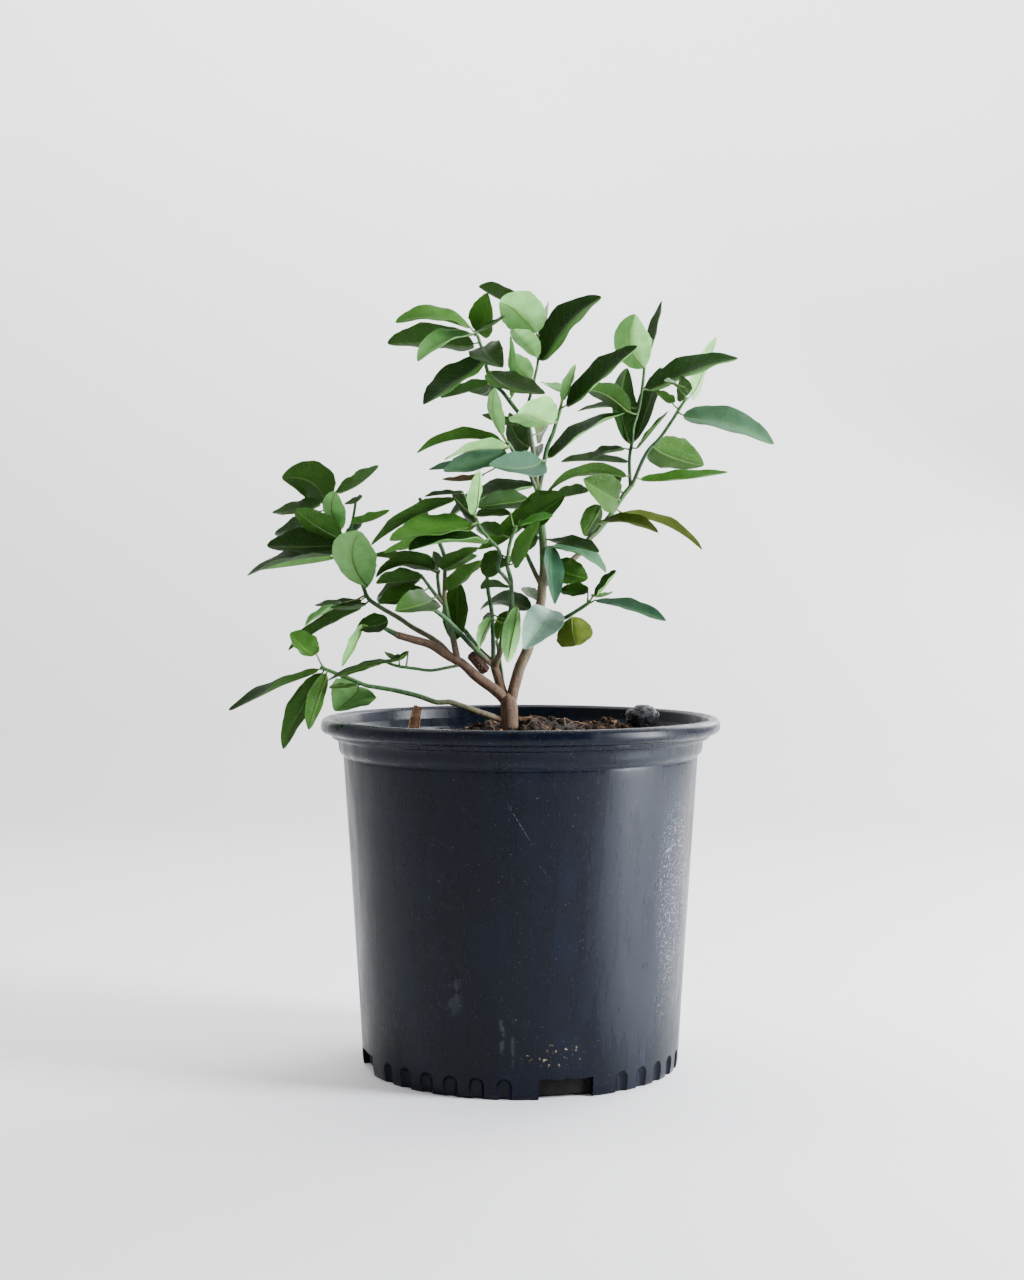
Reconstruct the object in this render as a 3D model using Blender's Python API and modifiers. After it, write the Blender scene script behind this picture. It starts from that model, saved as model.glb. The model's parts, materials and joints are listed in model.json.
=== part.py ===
# A small lemon tree in a round nursery pot: pot, soil, woody frame, leafy shoots, cut shoots,
# a piece of bark and a pebble. Metres, +Z up. The origin is the middle of the pot's underside,
# and the front, which the camera sees, looks along -Y.

import math

import bmesh
import bpy
from mathutils import Matrix, Vector
from mathutils.bvhtree import BVHTree

MM = 0.001
GAP = 0.3 * MM

# The eye that the tree was measured from, in front of the pot
EYE_DISTANCE = 1362 * MM
EYE_HEIGHT = 334 * MM

# Pot
POT_STEPS = 40
FLOOR = 2.0 * MM
POT_OUTSIDE = [  # radius and height in mm, from the rim's crest down
    (135, 243), (138.6, 241), (140, 236.4), (137.5, 232.6), (134, 232), (132, 231),
    (128.4, 227), (127, 222.5), (123.7, 216.8), (124.1, 214), (123.7, 207), (119.4, 142),
    (113.2, 44), (111.1, 5), (110.3, 0),
]
POT_INSIDE = [  # from the floor's edge up to the rim
    (106.5, 2), (107.5, 18), (110.9, 24), (117.8, 142), (122.1, 207), (122.4, 214),
    (125.3, 222.5), (127, 228), (131, 234), (132, 241),
]
NOTCHES = 4
NOTCH_TURN = math.radians(15.8)
NOTCH_WIDTH = 37 * MM
NOTCH_HEIGHT = 13.5 * MM
NOTCH_INNER = 100 * MM
NOTCH_OUTER = 116 * MM
FLUTES_A_QUARTER = 6
FLUTE_STEP = math.radians(9.5)
FLUTE_HEIGHT = 13 * MM
FLUTE_RADIUS = 4.2 * MM
FLUTE_CENTRE = 112.4 * MM
FLUTE_SIDES = 8

# Soil
SOIL_BOTTOM = 2.3 * MM
SOIL_EDGE = 221 * MM
SOIL_RINGS = (16, 32, 50, 68, 86, 104, 118)
MOUND_HEIGHT = 13 * MM
MOUND_RADIUS = 46 * MM
BACK_MOUND = (20, 70, 12)  # across, back and high, in mm
BACK_MOUND_RADIUS = 55 * MM
CLOD = 1.6 * MM
PEBBLE_RISE = 10.5 * MM
PEBBLE_RISE_RADIUS = 26 * MM

# Trunk
TRUNK_X = -7.4
TRUNK_FOOT = 178
TRUNK_HOLE = 7.6 * MM

# Loose pieces on the soil
PEBBLE_PLACE = (88.5, 45, 239)
PEBBLE_SIZE = (12.5, 10, 9)
BARK_FOOT = (-80, -18, 214)
BARK_TOP = (-71, -14, 250)
BARK_SIZE = (9, 4)

# Leaves
LEAF_THICK = 0.7 * MM
CLEARANCE = 1.7 * MM  # thickness that a blade is given while its place is settled
FOLD = 28
MOST_HALF = 19.5 * MM
BROADER = 1.12  # how much broader a blade is than the width read across its outline
CURL = 0.07  # how far a blade curls towards its upper face, as a share of its length
ROUNDED = 0.55  # the lower, the fuller a blade's ends
POINTED = 0.5  # how much narrower a blade is near its tip than near its base
PETIOLE_HALF = 0.7 * MM
ROOT_SINK = 2  # how far from a stem's ends a leaf is rooted, in mm
STATIONS = (0.13, 0.36, 0.62, 0.85)
MOST_SHIFT = 66
SHIFT_STEP = 6


def shoot(parent, spur, stems, leaves):
    """A stem group: its parent's node, its woody spur's length in mm, its stems and its leaves."""
    return {"parent": parent, "spur": spur, "stems": stems, "leaves": leaves}


# Stems are ((x, z, depth), ...), first radius, last radius, in mm. x and z are read on the plane
# through the pot's axis, depth is how far behind it the stem lies.
# Leaves are (base x, base z, tip x, tip z, depth of the tip behind the stem, width as it shows,
# roll in degrees, arch). Roll 0 is edge-on, above 0 shows the upper face, below 0 the underside.
# A pair of rolls is a twisted blade. The arch is how far the rib rises above its chord as it shows.
WOOD = [
    (((TRUNK_X, TRUNK_FOOT, 0), (TRUNK_X, 236, 0), (-8.6, 255, 0)), 6.6, 6.3),
    (((-9, 247, 0), (-10.9, 254.4, 0), (-17.9, 261.4, -1), (-30.6, 270.6, -2), (-41.4, 280.4, -3),
      (-50.2, 285, -4), (-62.9, 293.1, -6), (-74.5, 296.6, -8), (-86.7, 300.1, -10)), 4.4, 2.6),
    (((-9.5, 248, 0), (-13, 261.4, 2), (-17.9, 276.2, 5), (-18.6, 281, 6)), 3.8, 3.1),
    (((-8, 248, 0), (-4.6, 262.9, 1)), 4.6, 4.2),
    (((-34, 286, -5), (-25, 275.5, 4)), 4.2, 4.2),
]

SHOOTS = {
    "left_spur_shoot": shoot("trunk", 3, [
        (((-85.5, 299.7, -9.8), (-95.2, 304.6, -12), (-97, 306, -12.5)), 2.2, 1.4),
    ], [
        (-93.1, 310.6, -114.8, 305.7, 10, 12.5, 50, 1),
        (-111.4, 307.3, -126, 278, -15, 6, -30, 1),
    ]),
    "low_shoot": shoot("trunk", 12, [
        (((-8, 238.5, 0), (-27.7, 245.3, -8), (-41.4, 250.2, -12), (-50.2, 253, -14),
          (-58.6, 252.6, -16), (-72, 257.2, -18), (-89.6, 261.4, -20), (-107.8, 264.3, -23),
          (-111.6, 265.7, -24), (-121.4, 269.9, -26), (-128.9, 272.7, -27), (-140.1, 277.2, -29)),
         2.2, 1.3),
    ], [
        (-142.2, 276, -205.5, 247.4, -10, 8.5, (-15, 30), 4),
        (-139.4, 273, -167.2, 220, 15, 14, 50, 5),
        (-136.6, 273, -149.3, 233.7, -25, 11, -55, 2.3),
        (-143.6, 287, -161.9, 301.5, 0, 14, 40, 2.5),
        (-114.1, 264, -131, 247, 35, 28, -70, 0.7),
        (-114.8, 265.7, -134.5, 263, -20, 4, 5, 1),
    ]),
    "side_shoot": shoot("trunk", 8, [
        (((-41.4, 279, -3), (-62.9, 275.1, -12), (-72, 276.2, -15), (-87, 278.3, -18),
          (-95.2, 281.5, -20)), 1.2, 1.1),
    ], [
        (-85.3, 283, -135.9, 268, -30, 4, 10, 4),
        (-95.2, 282.5, -125.7, 271.2, 5, 5.5, -25, 2),
        (-78.8, 289, -95.9, 288.8, 0, 5, 10, -4),
    ]),
    "left_shoot": shoot("trunk", 14, [
        (((-46, 282.6, -4), (-55.8, 293.1, 2), (-63.6, 298.7, 6), (-76.2, 305.7, 12),
          (-85.3, 312, 16), (-98.7, 319.7, 22), (-107.1, 326.1, 26), (-111.3, 336.6, 30),
          (-118.4, 352.8, 34), (-124, 366.1, 38), (-131, 382.3, 42), (-135.2, 392.8, 44)), 2, 1.2),
        (((-121.9, 361.2, 36.5), (-118.4, 377.3, 30), (-116.2, 389.3, 26), (-115.5, 394.9, 24)),
         1.2, 1),
    ], [
        (-136.6, 395, -167.5, 410.4, 15, 27, -75, 9),
        (-129.5, 401, -99.4, 419, 10, 9.5, -20, 1),
        (-126.1, 374, -130, 401, -20, 15, -60, -2),
        (-140.1, 393, -174.2, 386.5, 25, 10, 20, 1.5),
        (-126.1, 369, -157.7, 389, -35, 15.5, -50, 1),
        (-142.2, 386.5, -172.4, 372.4, 35, 10, 25, 0.5),
        (-126.8, 366, -178.1, 363, -15, 17, 35, 4),
        (-130.3, 358, -192.1, 342, 5, 9, 10, 7.5),
        (-130.3, 355, -184.4, 346, 30, 6, -20, 2),
        (-107.1, 334.5, -112.5, 373, -40, 29, -75, -6),
        (-119, 380, -91.7, 388, -5, 6.5, -20, 0),
        (-121.9, 393.5, -111, 397.6, 0, 4.5, 10, 0),
        (-121.2, 370, -110.6, 383.7, 20, 6.5, 30, 1),
        (-111.3, 325, -144.5, 321, 20, 5.5, -10, 1),
        (-108.5, 322.6, -133.8, 319.7, -10, 7, 10, 1),
        (-112, 320, -163.3, 289.5, -35, 8.5, -25, 6),
        (-123.3, 322.6, -151.4, 307, -5, 5.5, 10, 4),
    ]),
    "inner_left_shoot": shoot("trunk", 9, [
        (((-44, 281.5, -3), (-47.6, 298.7, -8), (-51.2, 312, -10), (-53.7, 324.7, -12)), 2.5, 2),
        (((-53.4, 321.2, -11.5), (-60.1, 328.9, -15), (-69.9, 342.2, -20)), 1.5, 1.2),
        (((-53.6, 322.5, -12), (-56.5, 328, -7), (-58.3, 342.2, -2), (-57.2, 345, 0)), 1.5, 1.3),
        (((-53.6, 323.5, -12), (-53, 347.4, -20), (-53.7, 356.3, -23), (-58.6, 368.9, -26),
          (-64.3, 381.6, -28), (-70.6, 395.6, -30)), 1.7, 1.4),
    ], [
        (-57.9, 347, -61.5, 359, 20, 8.5, -50, 1),
        (-63.6, 346, -104.3, 356, 25, 6.5, -20, 5),
        (-60.8, 347, -101.5, 341, -20, 10, -25, 11),
        (-69.9, 341.5, -101.5, 336.6, 0, 10, -20, 4),
        (-70.6, 340, -100.8, 327, 30, 12.5, 40, 2.3),
        (-67.8, 331, -100.1, 323, 5, 12, 35, 3.3),
        (-62.2, 326, -88.1, 317, -30, 17, 55, 1.7),
        (-67.1, 381, -86, 379, 15, 5.5, -15, 3),
        (-56.5, 368, -96.2, 358, -5, 6.5, -30, 3),
        (-55.8, 347, -29.9, 362, -25, 8.5, -25, 3),
        (-52.3, 346, -30.6, 355.6, 0, 6.5, -15, 2),
        (-50.9, 332, -28.4, 352.8, -35, 10, -30, 3),
        (-46, 296.6, -44.6, 338.7, 35, 17, 65, 1.3),
    ]),
    "cut_shoot_1": shoot("trunk", 25, [
        (((-19.5, 278.5, 5), (-35.5, 293.8, -13), (-46, 305, -24), (-56.5, 314.8, -30),
          (-69.2, 323.3, -34)), 1.8, 1.6),
    ], []),
    "cut_shoot_2": shoot("trunk", 6, [
        (((-18.6, 280.4, 6), (-28.4, 289.5, 14), (-38.3, 302.2, 12), (-46, 310.6, 10),
          (-53, 324.7, 6)), 1.8, 1.6),
    ], []),
    "cut_shoot_3": shoot("trunk", 6, [
        (((-19, 280, 6), (-19.3, 298.7, 13), (-20.3, 317.2, 17), (-22.8, 331.7, 20),
          (-23.5, 342.9, 22)), 1.8, 1.6),
    ], []),
    "cut_shoot_4": shoot("trunk", 13, [
        (((-11, 257, 1), (-13.7, 276.2, 15), (-15.4, 288.8, 20), (-16.7, 295.8, 24)), 1.5, 1.3),
    ], []),
    "middle_shoot": shoot("trunk", 7, [
        (((-18.2, 277, 5), (-14, 289.5, -4), (-11.6, 302.9, -8), (-7.7, 313.6, -11),
          (-6.4, 321.1, -13), (-6.7, 338.7, -16), (-9.1, 347.4, -18), (-8.8, 356.3, -20),
          (-6.7, 367.2, -22), (-3.2, 375.2, -24)), 2.4, 1.2),
    ], [
        (-0.4, 381, 31.3, 398.4, -20, 21, 55, 1.7),
        (-2.5, 378, 22.8, 383.7, -55, 6, 20, 2),
        (-5.3, 350, 13.7, 380.9, -50, 11, 50, 2),
        (-7.4, 386.5, -31.3, 383.7, 25, 7.5, -30, 3),
        (-12.3, 370, -29.1, 378, 30, 11, 50, 1.3),
        (-12.3, 356, -27.7, 345, -30, 15.5, 60, 1),
        (-9.5, 355, -16.5, 347, 0, 7, -30, 0),
        (-8.1, 334.5, -27.7, 332.7, 35, 6.5, -20, 4),
        (-21.4, 315.5, -27.7, 306.4, 30, 5.5, 40, 0),
        (-20.7, 312, -29.1, 291, -25, 7, -40, 3),
        (-9.5, 317, -16.5, 296.6, 20, 9, -60, 1),
        (-2.5, 320, -9.1, 281.1, -30, 12, -65, 1.3),
    ]),
    "middle_side_shoot": shoot("middle_shoot", 4, [
        (((-6.6, 335.2, -15.5), (-12.5, 342.5, -23), (-15.8, 347.1, -27), (-14.4, 358.4, -33),
          (-21.4, 366.8, -38), (-28.4, 375.2, -42), (-32, 384.4, -46)), 1.4, 1.2),
    ], [
        (-33, 385, -29.1, 416, -30, 8.5, -35, 2),
        (-31.3, 381, -48.1, 399, 30, 10, -30, 2),
        (-40.4, 400.5, -67.1, 397.4, 20, 3.5, -5, 2),
        (-46, 396, -105, 363.3, 10, 9, -20, 7),
        (-33.4, 378, -91.7, 366.8, -25, 14, 15, 7),
        (-23.5, 366, -78.3, 359.8, -45, 12, 15, 9),
    ]),
    "centre_shoot": shoot("trunk", 9, [
        (((-4.6, 262.9, 1), (-0.4, 277.6, 3), (4.6, 288.8, 5), (8.8, 303.6, 6), (14.2, 322.6, 8),
          (15.1, 333.8, 9), (16.5, 347.4, 10), (15.8, 365.4, 11), (14.2, 383.3, 12),
          (12.9, 398.4, 13), (11.8, 404, 13)), 4.2, 2.6),
        (((15.1, 333.8, 9), (10.6, 342.9, 12), (4.4, 356.3, 18)), 2, 1.6),
    ], [
        (8.8, 405.4, -51.6, 381.6, 0, 12, 15, 9.5),
        (5.3, 396.3, -32, 390, -20, 13, 45, 2.5),
        (6, 395.6, -29.9, 360.5, -15, 12, 45, -4),
        (22.8, 398.4, 47.4, 400.9, 20, 8.5, -25, 3),
        (12.7, 369, 3.9, 363, 15, 7, 50, 0),
        (11, 377, 6.7, 363, 25, 5.5, -30, 0),
        (21.4, 367.5, 55.1, 358.4, -30, 8.5, 20, 4),
        (22.8, 362.6, 60.1, 344.3, -10, 8.5, 25, 8),
        (22.8, 361.9, 23.9, 321.9, -50, 12.5, 50, 1.3),
        (22.8, 349, 47.4, 340, 0, 17, 60, 1),
        (6.7, 318.3, -28.4, 318, 25, 9, 30, 10),
        (12.3, 325, 5, 334, 35, 8.5, 50, 0),
        (21.4, 317.6, 2.5, 290.2, -45, 24, 75, 0.8),
    ]),
    "low_right_shoot": shoot("centre_shoot", 8, [
        (((9.5, 304.5, 6), (27, 309.9, -10), (40.4, 317.6, -22), (48.8, 323.3, -30)), 1.6, 1.3),
    ], [
        (51.6, 328, 67.4, 345.4, -10, 6.5, 15, 2),
        (52.5, 324.7, 102.2, 310.3, -25, 6, (10, 40), 5),
        (51, 328, 64, 330, 30, 3, 0, 0),
        (47.4, 331, 27.7, 331.7, 10, 8.5, 35, 2),
        (36.2, 313, 39, 293, -20, 24, -80, 0.3),
    ]),
    "crown_left_shoot": shoot("centre_shoot", 6, [
        (((11.8, 401, 13), (10.2, 419.1, 13), (8.5, 431.4, 13), (6, 445, 12), (3.2, 451.1, 11),
          (-3.2, 458.1, 8), (-13, 470.8, 2), (-20.7, 477.1, -2), (-23.5, 486.2, -4),
          (-27, 500.3, -6), (-30.6, 511.5, -8)), 2, 1.2),
    ], [
        (-35.5, 516, -87.4, 519, -25, 10, 25, 9.5),
        (-32.7, 504, -93.1, 504.5, 20, 17, -35, 7),
        (-34.1, 511, -72, 492, -45, 10.3, 30, 9),
        (-30.6, 513, -22.8, 539.6, -40, 17.5, 60, 0),
        (-31.3, 513.5, -10.9, 523.4, -55, 3.5, 5, 0),
        (-25.5, 502, -12.3, 487.6, -50, 20, 70, 0),
        (-26.3, 495, -68, 462, -30, 15.5, 22, 4.5),
        (-22, 478.5, -55.8, 466.6, 10, 8, -20, 2),
        (-21, 475, -36, 470.7, 45, 9.5, -50, -2),
        (-20.8, 485, 17.2, 469.4, -40, 13.5, 35, 0),
        (-6, 467, -7, 510, -30, 5.5, -30, 2),
        (-1.1, 450, -27, 454.5, 25, 6.5, -25, 0),
        (6.5, 432, -8, 456, 25, 18, -70, -2.5),
        (10.5, 423, 11.5, 432.5, 40, 8.5, 60, 0),
        (10.9, 441, 20.7, 451.8, 40, 12.5, -50, 1.3),
    ]),
    "crown_right_shoot": shoot("crown_left_shoot", 4, [
        (((4, 449.5, 11.4), (5.3, 461.6, 20), (8.1, 472.2, 26), (10, 480.6, 30), (12.3, 492.5, 35),
          (11.6, 510.1, 38)), 1.3, 1),
    ], [
        (6.7, 514, -29.1, 543.8, 40, 11, -20, 9),
        (10.9, 512, -14.5, 533.5, -20, 28, -70, 5.5),
        (13.7, 511, 6, 535.4, 30, 4, -20, 2),
        (12.3, 504, 19.3, 534, 40, 3.5, 0, 0),
        (14.4, 492.5, 56.5, 536.8, 5, 18, 25, 10.5),
        (11.6, 495, -4.8, 514, -50, 13, -50, 3),
        (7.4, 480, -6, 497.5, -15, 14, -60, 0),
    ]),
    "crown_front_shoot": shoot("centre_shoot", 6, [
        (((11.6, 401.5, 13), (4.4, 417.4, -2), (-0.4, 422.3, -8), (-5.3, 429.3, -14),
          (-8.8, 434.9, -18)), 1.6, 1.3),
    ], [
        (-12.3, 441, -17, 473, -35, 10, -50, -2),
        (-14.4, 442, -21.4, 471.5, 0, 4, -20, 2),
        (-14.4, 437, -72.7, 427.9, -5, 8, -20, 9.5),
        (-10.8, 432, -53, 423, -45, 6.5, -15, 6.3),
        (-10.9, 430, -54.1, 415.3, -30, 14.5, 40, 1.5),
        (-9.8, 431, -35.5, 430, 20, 5, -10, 2),
        (-14.4, 421, -64.3, 416.3, 15, 7, -20, 3),
        (-25.6, 413, -55.1, 409.6, 10, 4.5, -10, -0.5),
    ]),
    "crown_back_shoot": shoot("centre_shoot", 6, [
        (((12.5, 401, 13), (15.8, 416.7, 22), (18.6, 431.4, 22), (22.8, 441.3, 19),
          (24.7, 447.9, 17), (26.8, 453.9, 16), (28.4, 460.9, 15)), 2, 1.3),
    ], [
        (22.9, 449, -2, 456, -35, 22, -45, 6),
        (14.4, 423, -22, 419.5, -35, 17, 50, -0.5),
        (32, 461, 81.8, 502.4, -20, 13.5, 25, 6),
        (29.9, 465, 38.3, 489.7, -15, 6.5, -30, 2),
        (29.1, 471.5, 17.9, 477, 40, 6.5, 20, 2),
        (20, 424.4, 72.7, 455.7, 25, 9.5, 18, 8),
    ]),
    "right_shoot": shoot("centre_shoot", 7, [
        (((15.4, 334, 9), (31.3, 348.5, 22), (43.9, 359.8, 30), (47.8, 367.2, 33),
          (53.7, 372.4, 36), (61.2, 381.6, 40), (67.4, 390.7, 43), (72, 397.7, 45),
          (77.5, 404.5, 47)), 2.2, 1.8),
    ], [
        (68.5, 395.6, 43.9, 409.6, -45, 22.5, 70, 1),
        (68.5, 402, 58.6, 414, 20, 15.5, -50, 1.3),
        (55.8, 391, 44.6, 370, -15, 14, -60, 1.5),
        (54.6, 379.4, 96.5, 372.2, -40, 7.5, 25, 7.5),
        (71.3, 386, 127.5, 360, 10, 7, -15, 9),
    ]),
    "right_upper_shoot": shoot("right_shoot", 4, [
        (((77, 403, 46.6), (76.4, 423.7, 54), (78.3, 436.3, 58), (79.2, 446.4, 60),
          (82.3, 456.7, 62), (84.4, 467.3, 64), (86, 479.2, 66), (87, 491.8, 68)), 1.4, 1.2),
    ], [
        (74, 411.5, 17.2, 398.4, -25, 7.5, -25, 12.5),
        (75.5, 422, 28.4, 421.6, 30, 7, -10, 4.5),
        (72.7, 431, 48.8, 423.7, -10, 6.5, 15, 4),
        (81.1, 431, 103.6, 457, -20, 3.5, 5, 1.5),
        (77.3, 434, 75, 487, 25, 17, 60, -3),
        (79.7, 436, 98, 487.6, 35, 12.5, 50, 2),
        (86.7, 487.5, 80.5, 524.5, -15, 26, -75, -5),
        (87.4, 492.5, 98.7, 534, 25, 7, 25, 2),
        (76, 456.5, 44.3, 472, -45, 14, -50, 7),
        (70.3, 461, 39.7, 457, -10, 4, 10, 3),
        (88.1, 472, 152.1, 494, 15, 14, 30, 8.5),
    ]),
    "right_outer_shoot": shoot("right_shoot", 4, [
        (((78, 404.4, 46.8), (85.3, 422, 40), (90.6, 430.9, 38), (97.8, 438.2, 35),
          (107.1, 451.8, 31), (112, 459.8, 29), (116.2, 466, 28)), 1.5, 1.2),
    ], [
        (84, 409.5, 145.4, 414.6, 15, 7.5, 20, 1.5),
        (93, 433, 128.5, 419, 35, 24, -60, 1),
        (114.1, 454, 177.4, 434, -20, 15.5, 45, 8.5),
        (119.1, 468, 137.3, 508.7, 78, 11, -40, 2),
        (116, 467.5, 112, 481.7, 30, 12, -60, 0),
        (115, 469, 100.8, 478, -25, 3, 0, 3),
        (105.7, 463, 95.2, 471.5, -10, 7, -20, 2),
    ]),
}


def clear_scene():
    for obj in list(bpy.data.objects):
        bpy.data.objects.remove(obj, do_unlink=True)


def new_collection(name, hidden=False):
    made = bpy.data.collections.new(name)
    made.hide_render = hidden
    bpy.context.scene.collection.children.link(made)
    return made


def material(name, color, roughness):
    made = bpy.data.materials.new(name)
    made.use_nodes = True
    shader = made.node_tree.nodes["Principled BSDF"]
    shader.inputs["Base Color"].default_value = (*color, 1)
    shader.inputs["Roughness"].default_value = roughness
    return made


def add_object(name, data, collection, look=None):
    obj = bpy.data.objects.new(name, data)
    collection.objects.link(obj)
    if look:
        data.materials.append(look)
    return obj


def baked(obj):
    """Replaces an object by the welded mesh that its curve or modifiers make."""
    graph = bpy.context.evaluated_depsgraph_get()
    mesh = bpy.data.meshes.new_from_object(obj.evaluated_get(graph))
    bm = bmesh.new()
    bm.from_mesh(mesh)
    bmesh.ops.remove_doubles(bm, verts=bm.verts, dist=0.001 * MM)
    bm.to_mesh(mesh)
    bm.free()
    name, place, collection = obj.name, obj.matrix_world.copy(), obj.users_collection[0]
    bpy.data.objects.remove(obj)
    made = bpy.data.objects.new(name, mesh)
    made.matrix_world = place
    collection.objects.link(made)
    return made


def turned(name, profile, collection, look=None):
    """A turned solid from its profile in metres, from the axis on top round to the axis below."""
    mesh = bpy.data.meshes.new(name)
    points = [(radius, 0, height) for radius, height in profile]
    mesh.from_pydata(points, [(i, i + 1) for i in range(len(points) - 1)], [])
    obj = add_object(name, mesh, collection, look)
    screw = obj.modifiers.new("Turn", "SCREW")
    screw.steps = screw.render_steps = POT_STEPS
    screw.use_merge_vertices = True
    screw.merge_threshold = 0.0001
    return obj


def cut(obj, cutters):
    """Takes a collection of cutters from an object."""
    boolean = obj.modifiers.new("Cut", "BOOLEAN")
    boolean.operation = "DIFFERENCE"
    boolean.operand_type = "COLLECTION"
    boolean.collection = cutters
    boolean.solver = "EXACT"


def united(name, pieces, collection, look):
    """One closed body made of several that cross."""
    joined = new_collection(name + " pieces", hidden=True)
    first, *others = pieces
    for piece in others:
        piece.users_collection[0].objects.unlink(piece)
        joined.objects.link(piece)
    if others:
        boolean = first.modifiers.new("Join", "BOOLEAN")
        boolean.operation = "UNION"
        boolean.operand_type = "COLLECTION"
        boolean.collection = joined
        boolean.solver = "MANIFOLD"
        bpy.context.view_layer.update()
    whole = baked(first)
    whole.name = name
    whole.data.materials.clear()
    whole.data.materials.append(look)
    for piece in others:
        bpy.data.objects.remove(piece)
    bpy.data.collections.remove(joined)
    return whole


def seen(x, z, depth):
    """The point at this depth that the eye sees at x, z (all in mm) on the plane of the pot's axis."""
    share = 1 + depth * MM / EYE_DISTANCE
    return Vector((x * MM * share, depth * MM, EYE_HEIGHT + (z * MM - EYE_HEIGHT) * share))


def split_spur(shoot_data):
    """The spur that belongs to the parent, and the shoot's stems with the first one cut short."""
    (points, first, last), *rest = shoot_data["stems"]
    start, bend = Vector(points[0]), Vector(points[1])
    along = (bend - start).normalized()
    end = start + along * shoot_data["spur"]
    begin = end + along * GAP / MM
    spur = ((tuple(start), tuple(end)), first, first)
    return spur, [((tuple(begin), *points[1:]), first, last), *rest]


def stem_solid(name, stem, collection, resolution=1):
    """A tapered tube with closed ends through a stem's points."""
    points, first, last = stem
    curve = bpy.data.curves.new(name, "CURVE")
    curve.dimensions = "3D"
    curve.bevel_depth = first * MM
    curve.bevel_resolution = resolution
    curve.use_fill_caps = True
    spline = curve.splines.new("POLY")
    spline.points.add(len(points) - 1)
    for i, (point, (x, z, depth)) in enumerate(zip(spline.points, points)):
        point.co = (*seen(x, z, depth), 1)
        point.radius = 1 + (last / first - 1) * i / (len(points) - 1)
    return baked(add_object(name, curve, collection))


def stem_root(stems, x, z):
    """The place on the stems nearest to x, z in the picture, as (x, z, depth) in mm."""
    best, place = None, None
    for points, _, _ in stems:
        for start, end in zip(points, points[1:]):
            a, b = Vector(start), Vector(end)
            run = b.xy - a.xy
            short = min(0.4, ROOT_SINK / run.length)
            share = (Vector((x, z)) - a.xy).dot(run) / run.length_squared
            share = min(1 - short, max(short, share))
            here = a.lerp(b, share)
            away = (here.xy - Vector((x, z))).length
            if best is None or away < best:
                best, place = away, here
    return place


def seen_span(roll, fold):
    """The lowest and highest that a folded blade shows beside its rib, as shares of half its width."""
    sides = (0, math.sin(fold + roll), math.sin(fold - roll))
    return min(sides), max(sides)


def seen_share(roll, fold):
    low, high = seen_span(roll, fold)
    return high - low


def half_and_roll(width, roll, fold):
    """Half the blade's width and the least roll that shows it as wide as the picture does."""
    while abs(roll) < math.radians(78) and seen_share(roll, fold) * MOST_HALF < width:
        roll += math.copysign(math.radians(2), roll or 1)
    return min(MOST_HALF, width / seen_share(roll, fold)), roll


def leaf_rings(leaf, stems, shift, thick):
    """Rings of six points: left, rib and right on the upper face, then back on the lower one."""
    x0, z0, x1, z1, depth, width, rolls, arch = leaf
    root = stem_root(stems, x0, z0)
    rolls = rolls if isinstance(rolls, tuple) else (rolls, rolls)
    start = seen(x0, z0, root.z + 0.15 * (depth + shift))
    tip = seen(x1, z1, root.z + depth + shift)
    chord = tip - start
    ahead = chord.normalized()
    eye = Vector((0, -EYE_DISTANCE, EYE_HEIGHT)) - start
    side = ahead.cross(eye).normalized()
    side = -side if side.z < 0 else side
    view = side.cross(ahead).normalized()
    view = -view if view.dot(eye) < 0 else view
    fold = math.radians(FOLD)
    half, first_roll = half_and_roll(BROADER * width * MM, math.radians(rolls[0]), fold)
    last_roll = first_roll + math.radians(rolls[1] - rolls[0])

    def ring(place, along, normal, reach, lift):
        across = along.cross(normal).normalized()
        up = normal * thick / 2
        edges = [place - across * reach + normal * lift, place, place + across * reach + normal * lift]
        return [p + up for p in edges] + [p - up for p in reversed(edges)]

    def normal_at(roll):
        return side * math.cos(roll) + view * math.sin(roll)

    foot = seen(*root)
    out = (start - foot).normalized() if (start - foot).length > MM else ahead
    stalk_normal = (normal_at(first_roll) - out * normal_at(first_roll).dot(out)).normalized()
    rings = [ring(foot, out, stalk_normal, PETIOLE_HALF, 0)]
    rings.append(ring(start, (out + ahead).normalized(), stalk_normal, PETIOLE_HALF, 0))
    for t in STATIONS:
        roll = first_roll + (last_roll - first_roll) * t
        bulge = 4 * t * (1 - t)
        lift = side * arch * MM + view * math.sin(roll) * CURL * chord.length
        place = start + chord * t + lift * bulge
        along = (chord + lift * 4 * (1 - 2 * t)).normalized()
        normal = (normal_at(roll) - along * normal_at(roll).dot(along)).normalized()
        reach = half * bulge ** ROUNDED * (1 - POINTED * t ** 3)
        place = place - side * reach * sum(seen_span(roll, fold)) / 2
        rings.append(ring(place, along, normal, reach * math.cos(fold), reach * math.sin(fold)))
    return rings, tip


def leaf_faces(rings, first=0):
    """Triangles over the rings from one on to the tip, split alike on both faces."""
    faces = []
    for i in range(first, len(rings) - 1):
        for j in range(6):
            a, b, c, d = i * 6 + j, i * 6 + (j + 1) % 6, (i + 1) * 6 + (j + 1) % 6, (i + 1) * 6 + j
            faces += [(a, b, c), (a, c, d)] if j in (0, 3) else [(a, b, d), (b, c, d)]
    last, tip = (len(rings) - 1) * 6, len(rings) * 6
    faces += [(last + j, last + (j + 1) % 6, tip) for j in range(6)]
    start = first * 6
    faces += [(start, start + 5, start + 1), (start + 1, start + 5, start + 4),
              (start + 1, start + 4, start + 2), (start + 2, start + 4, start + 3)]
    return faces


def leaf_points(rings, tip):
    return [p for ring in rings for p in ring] + [tip]


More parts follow.
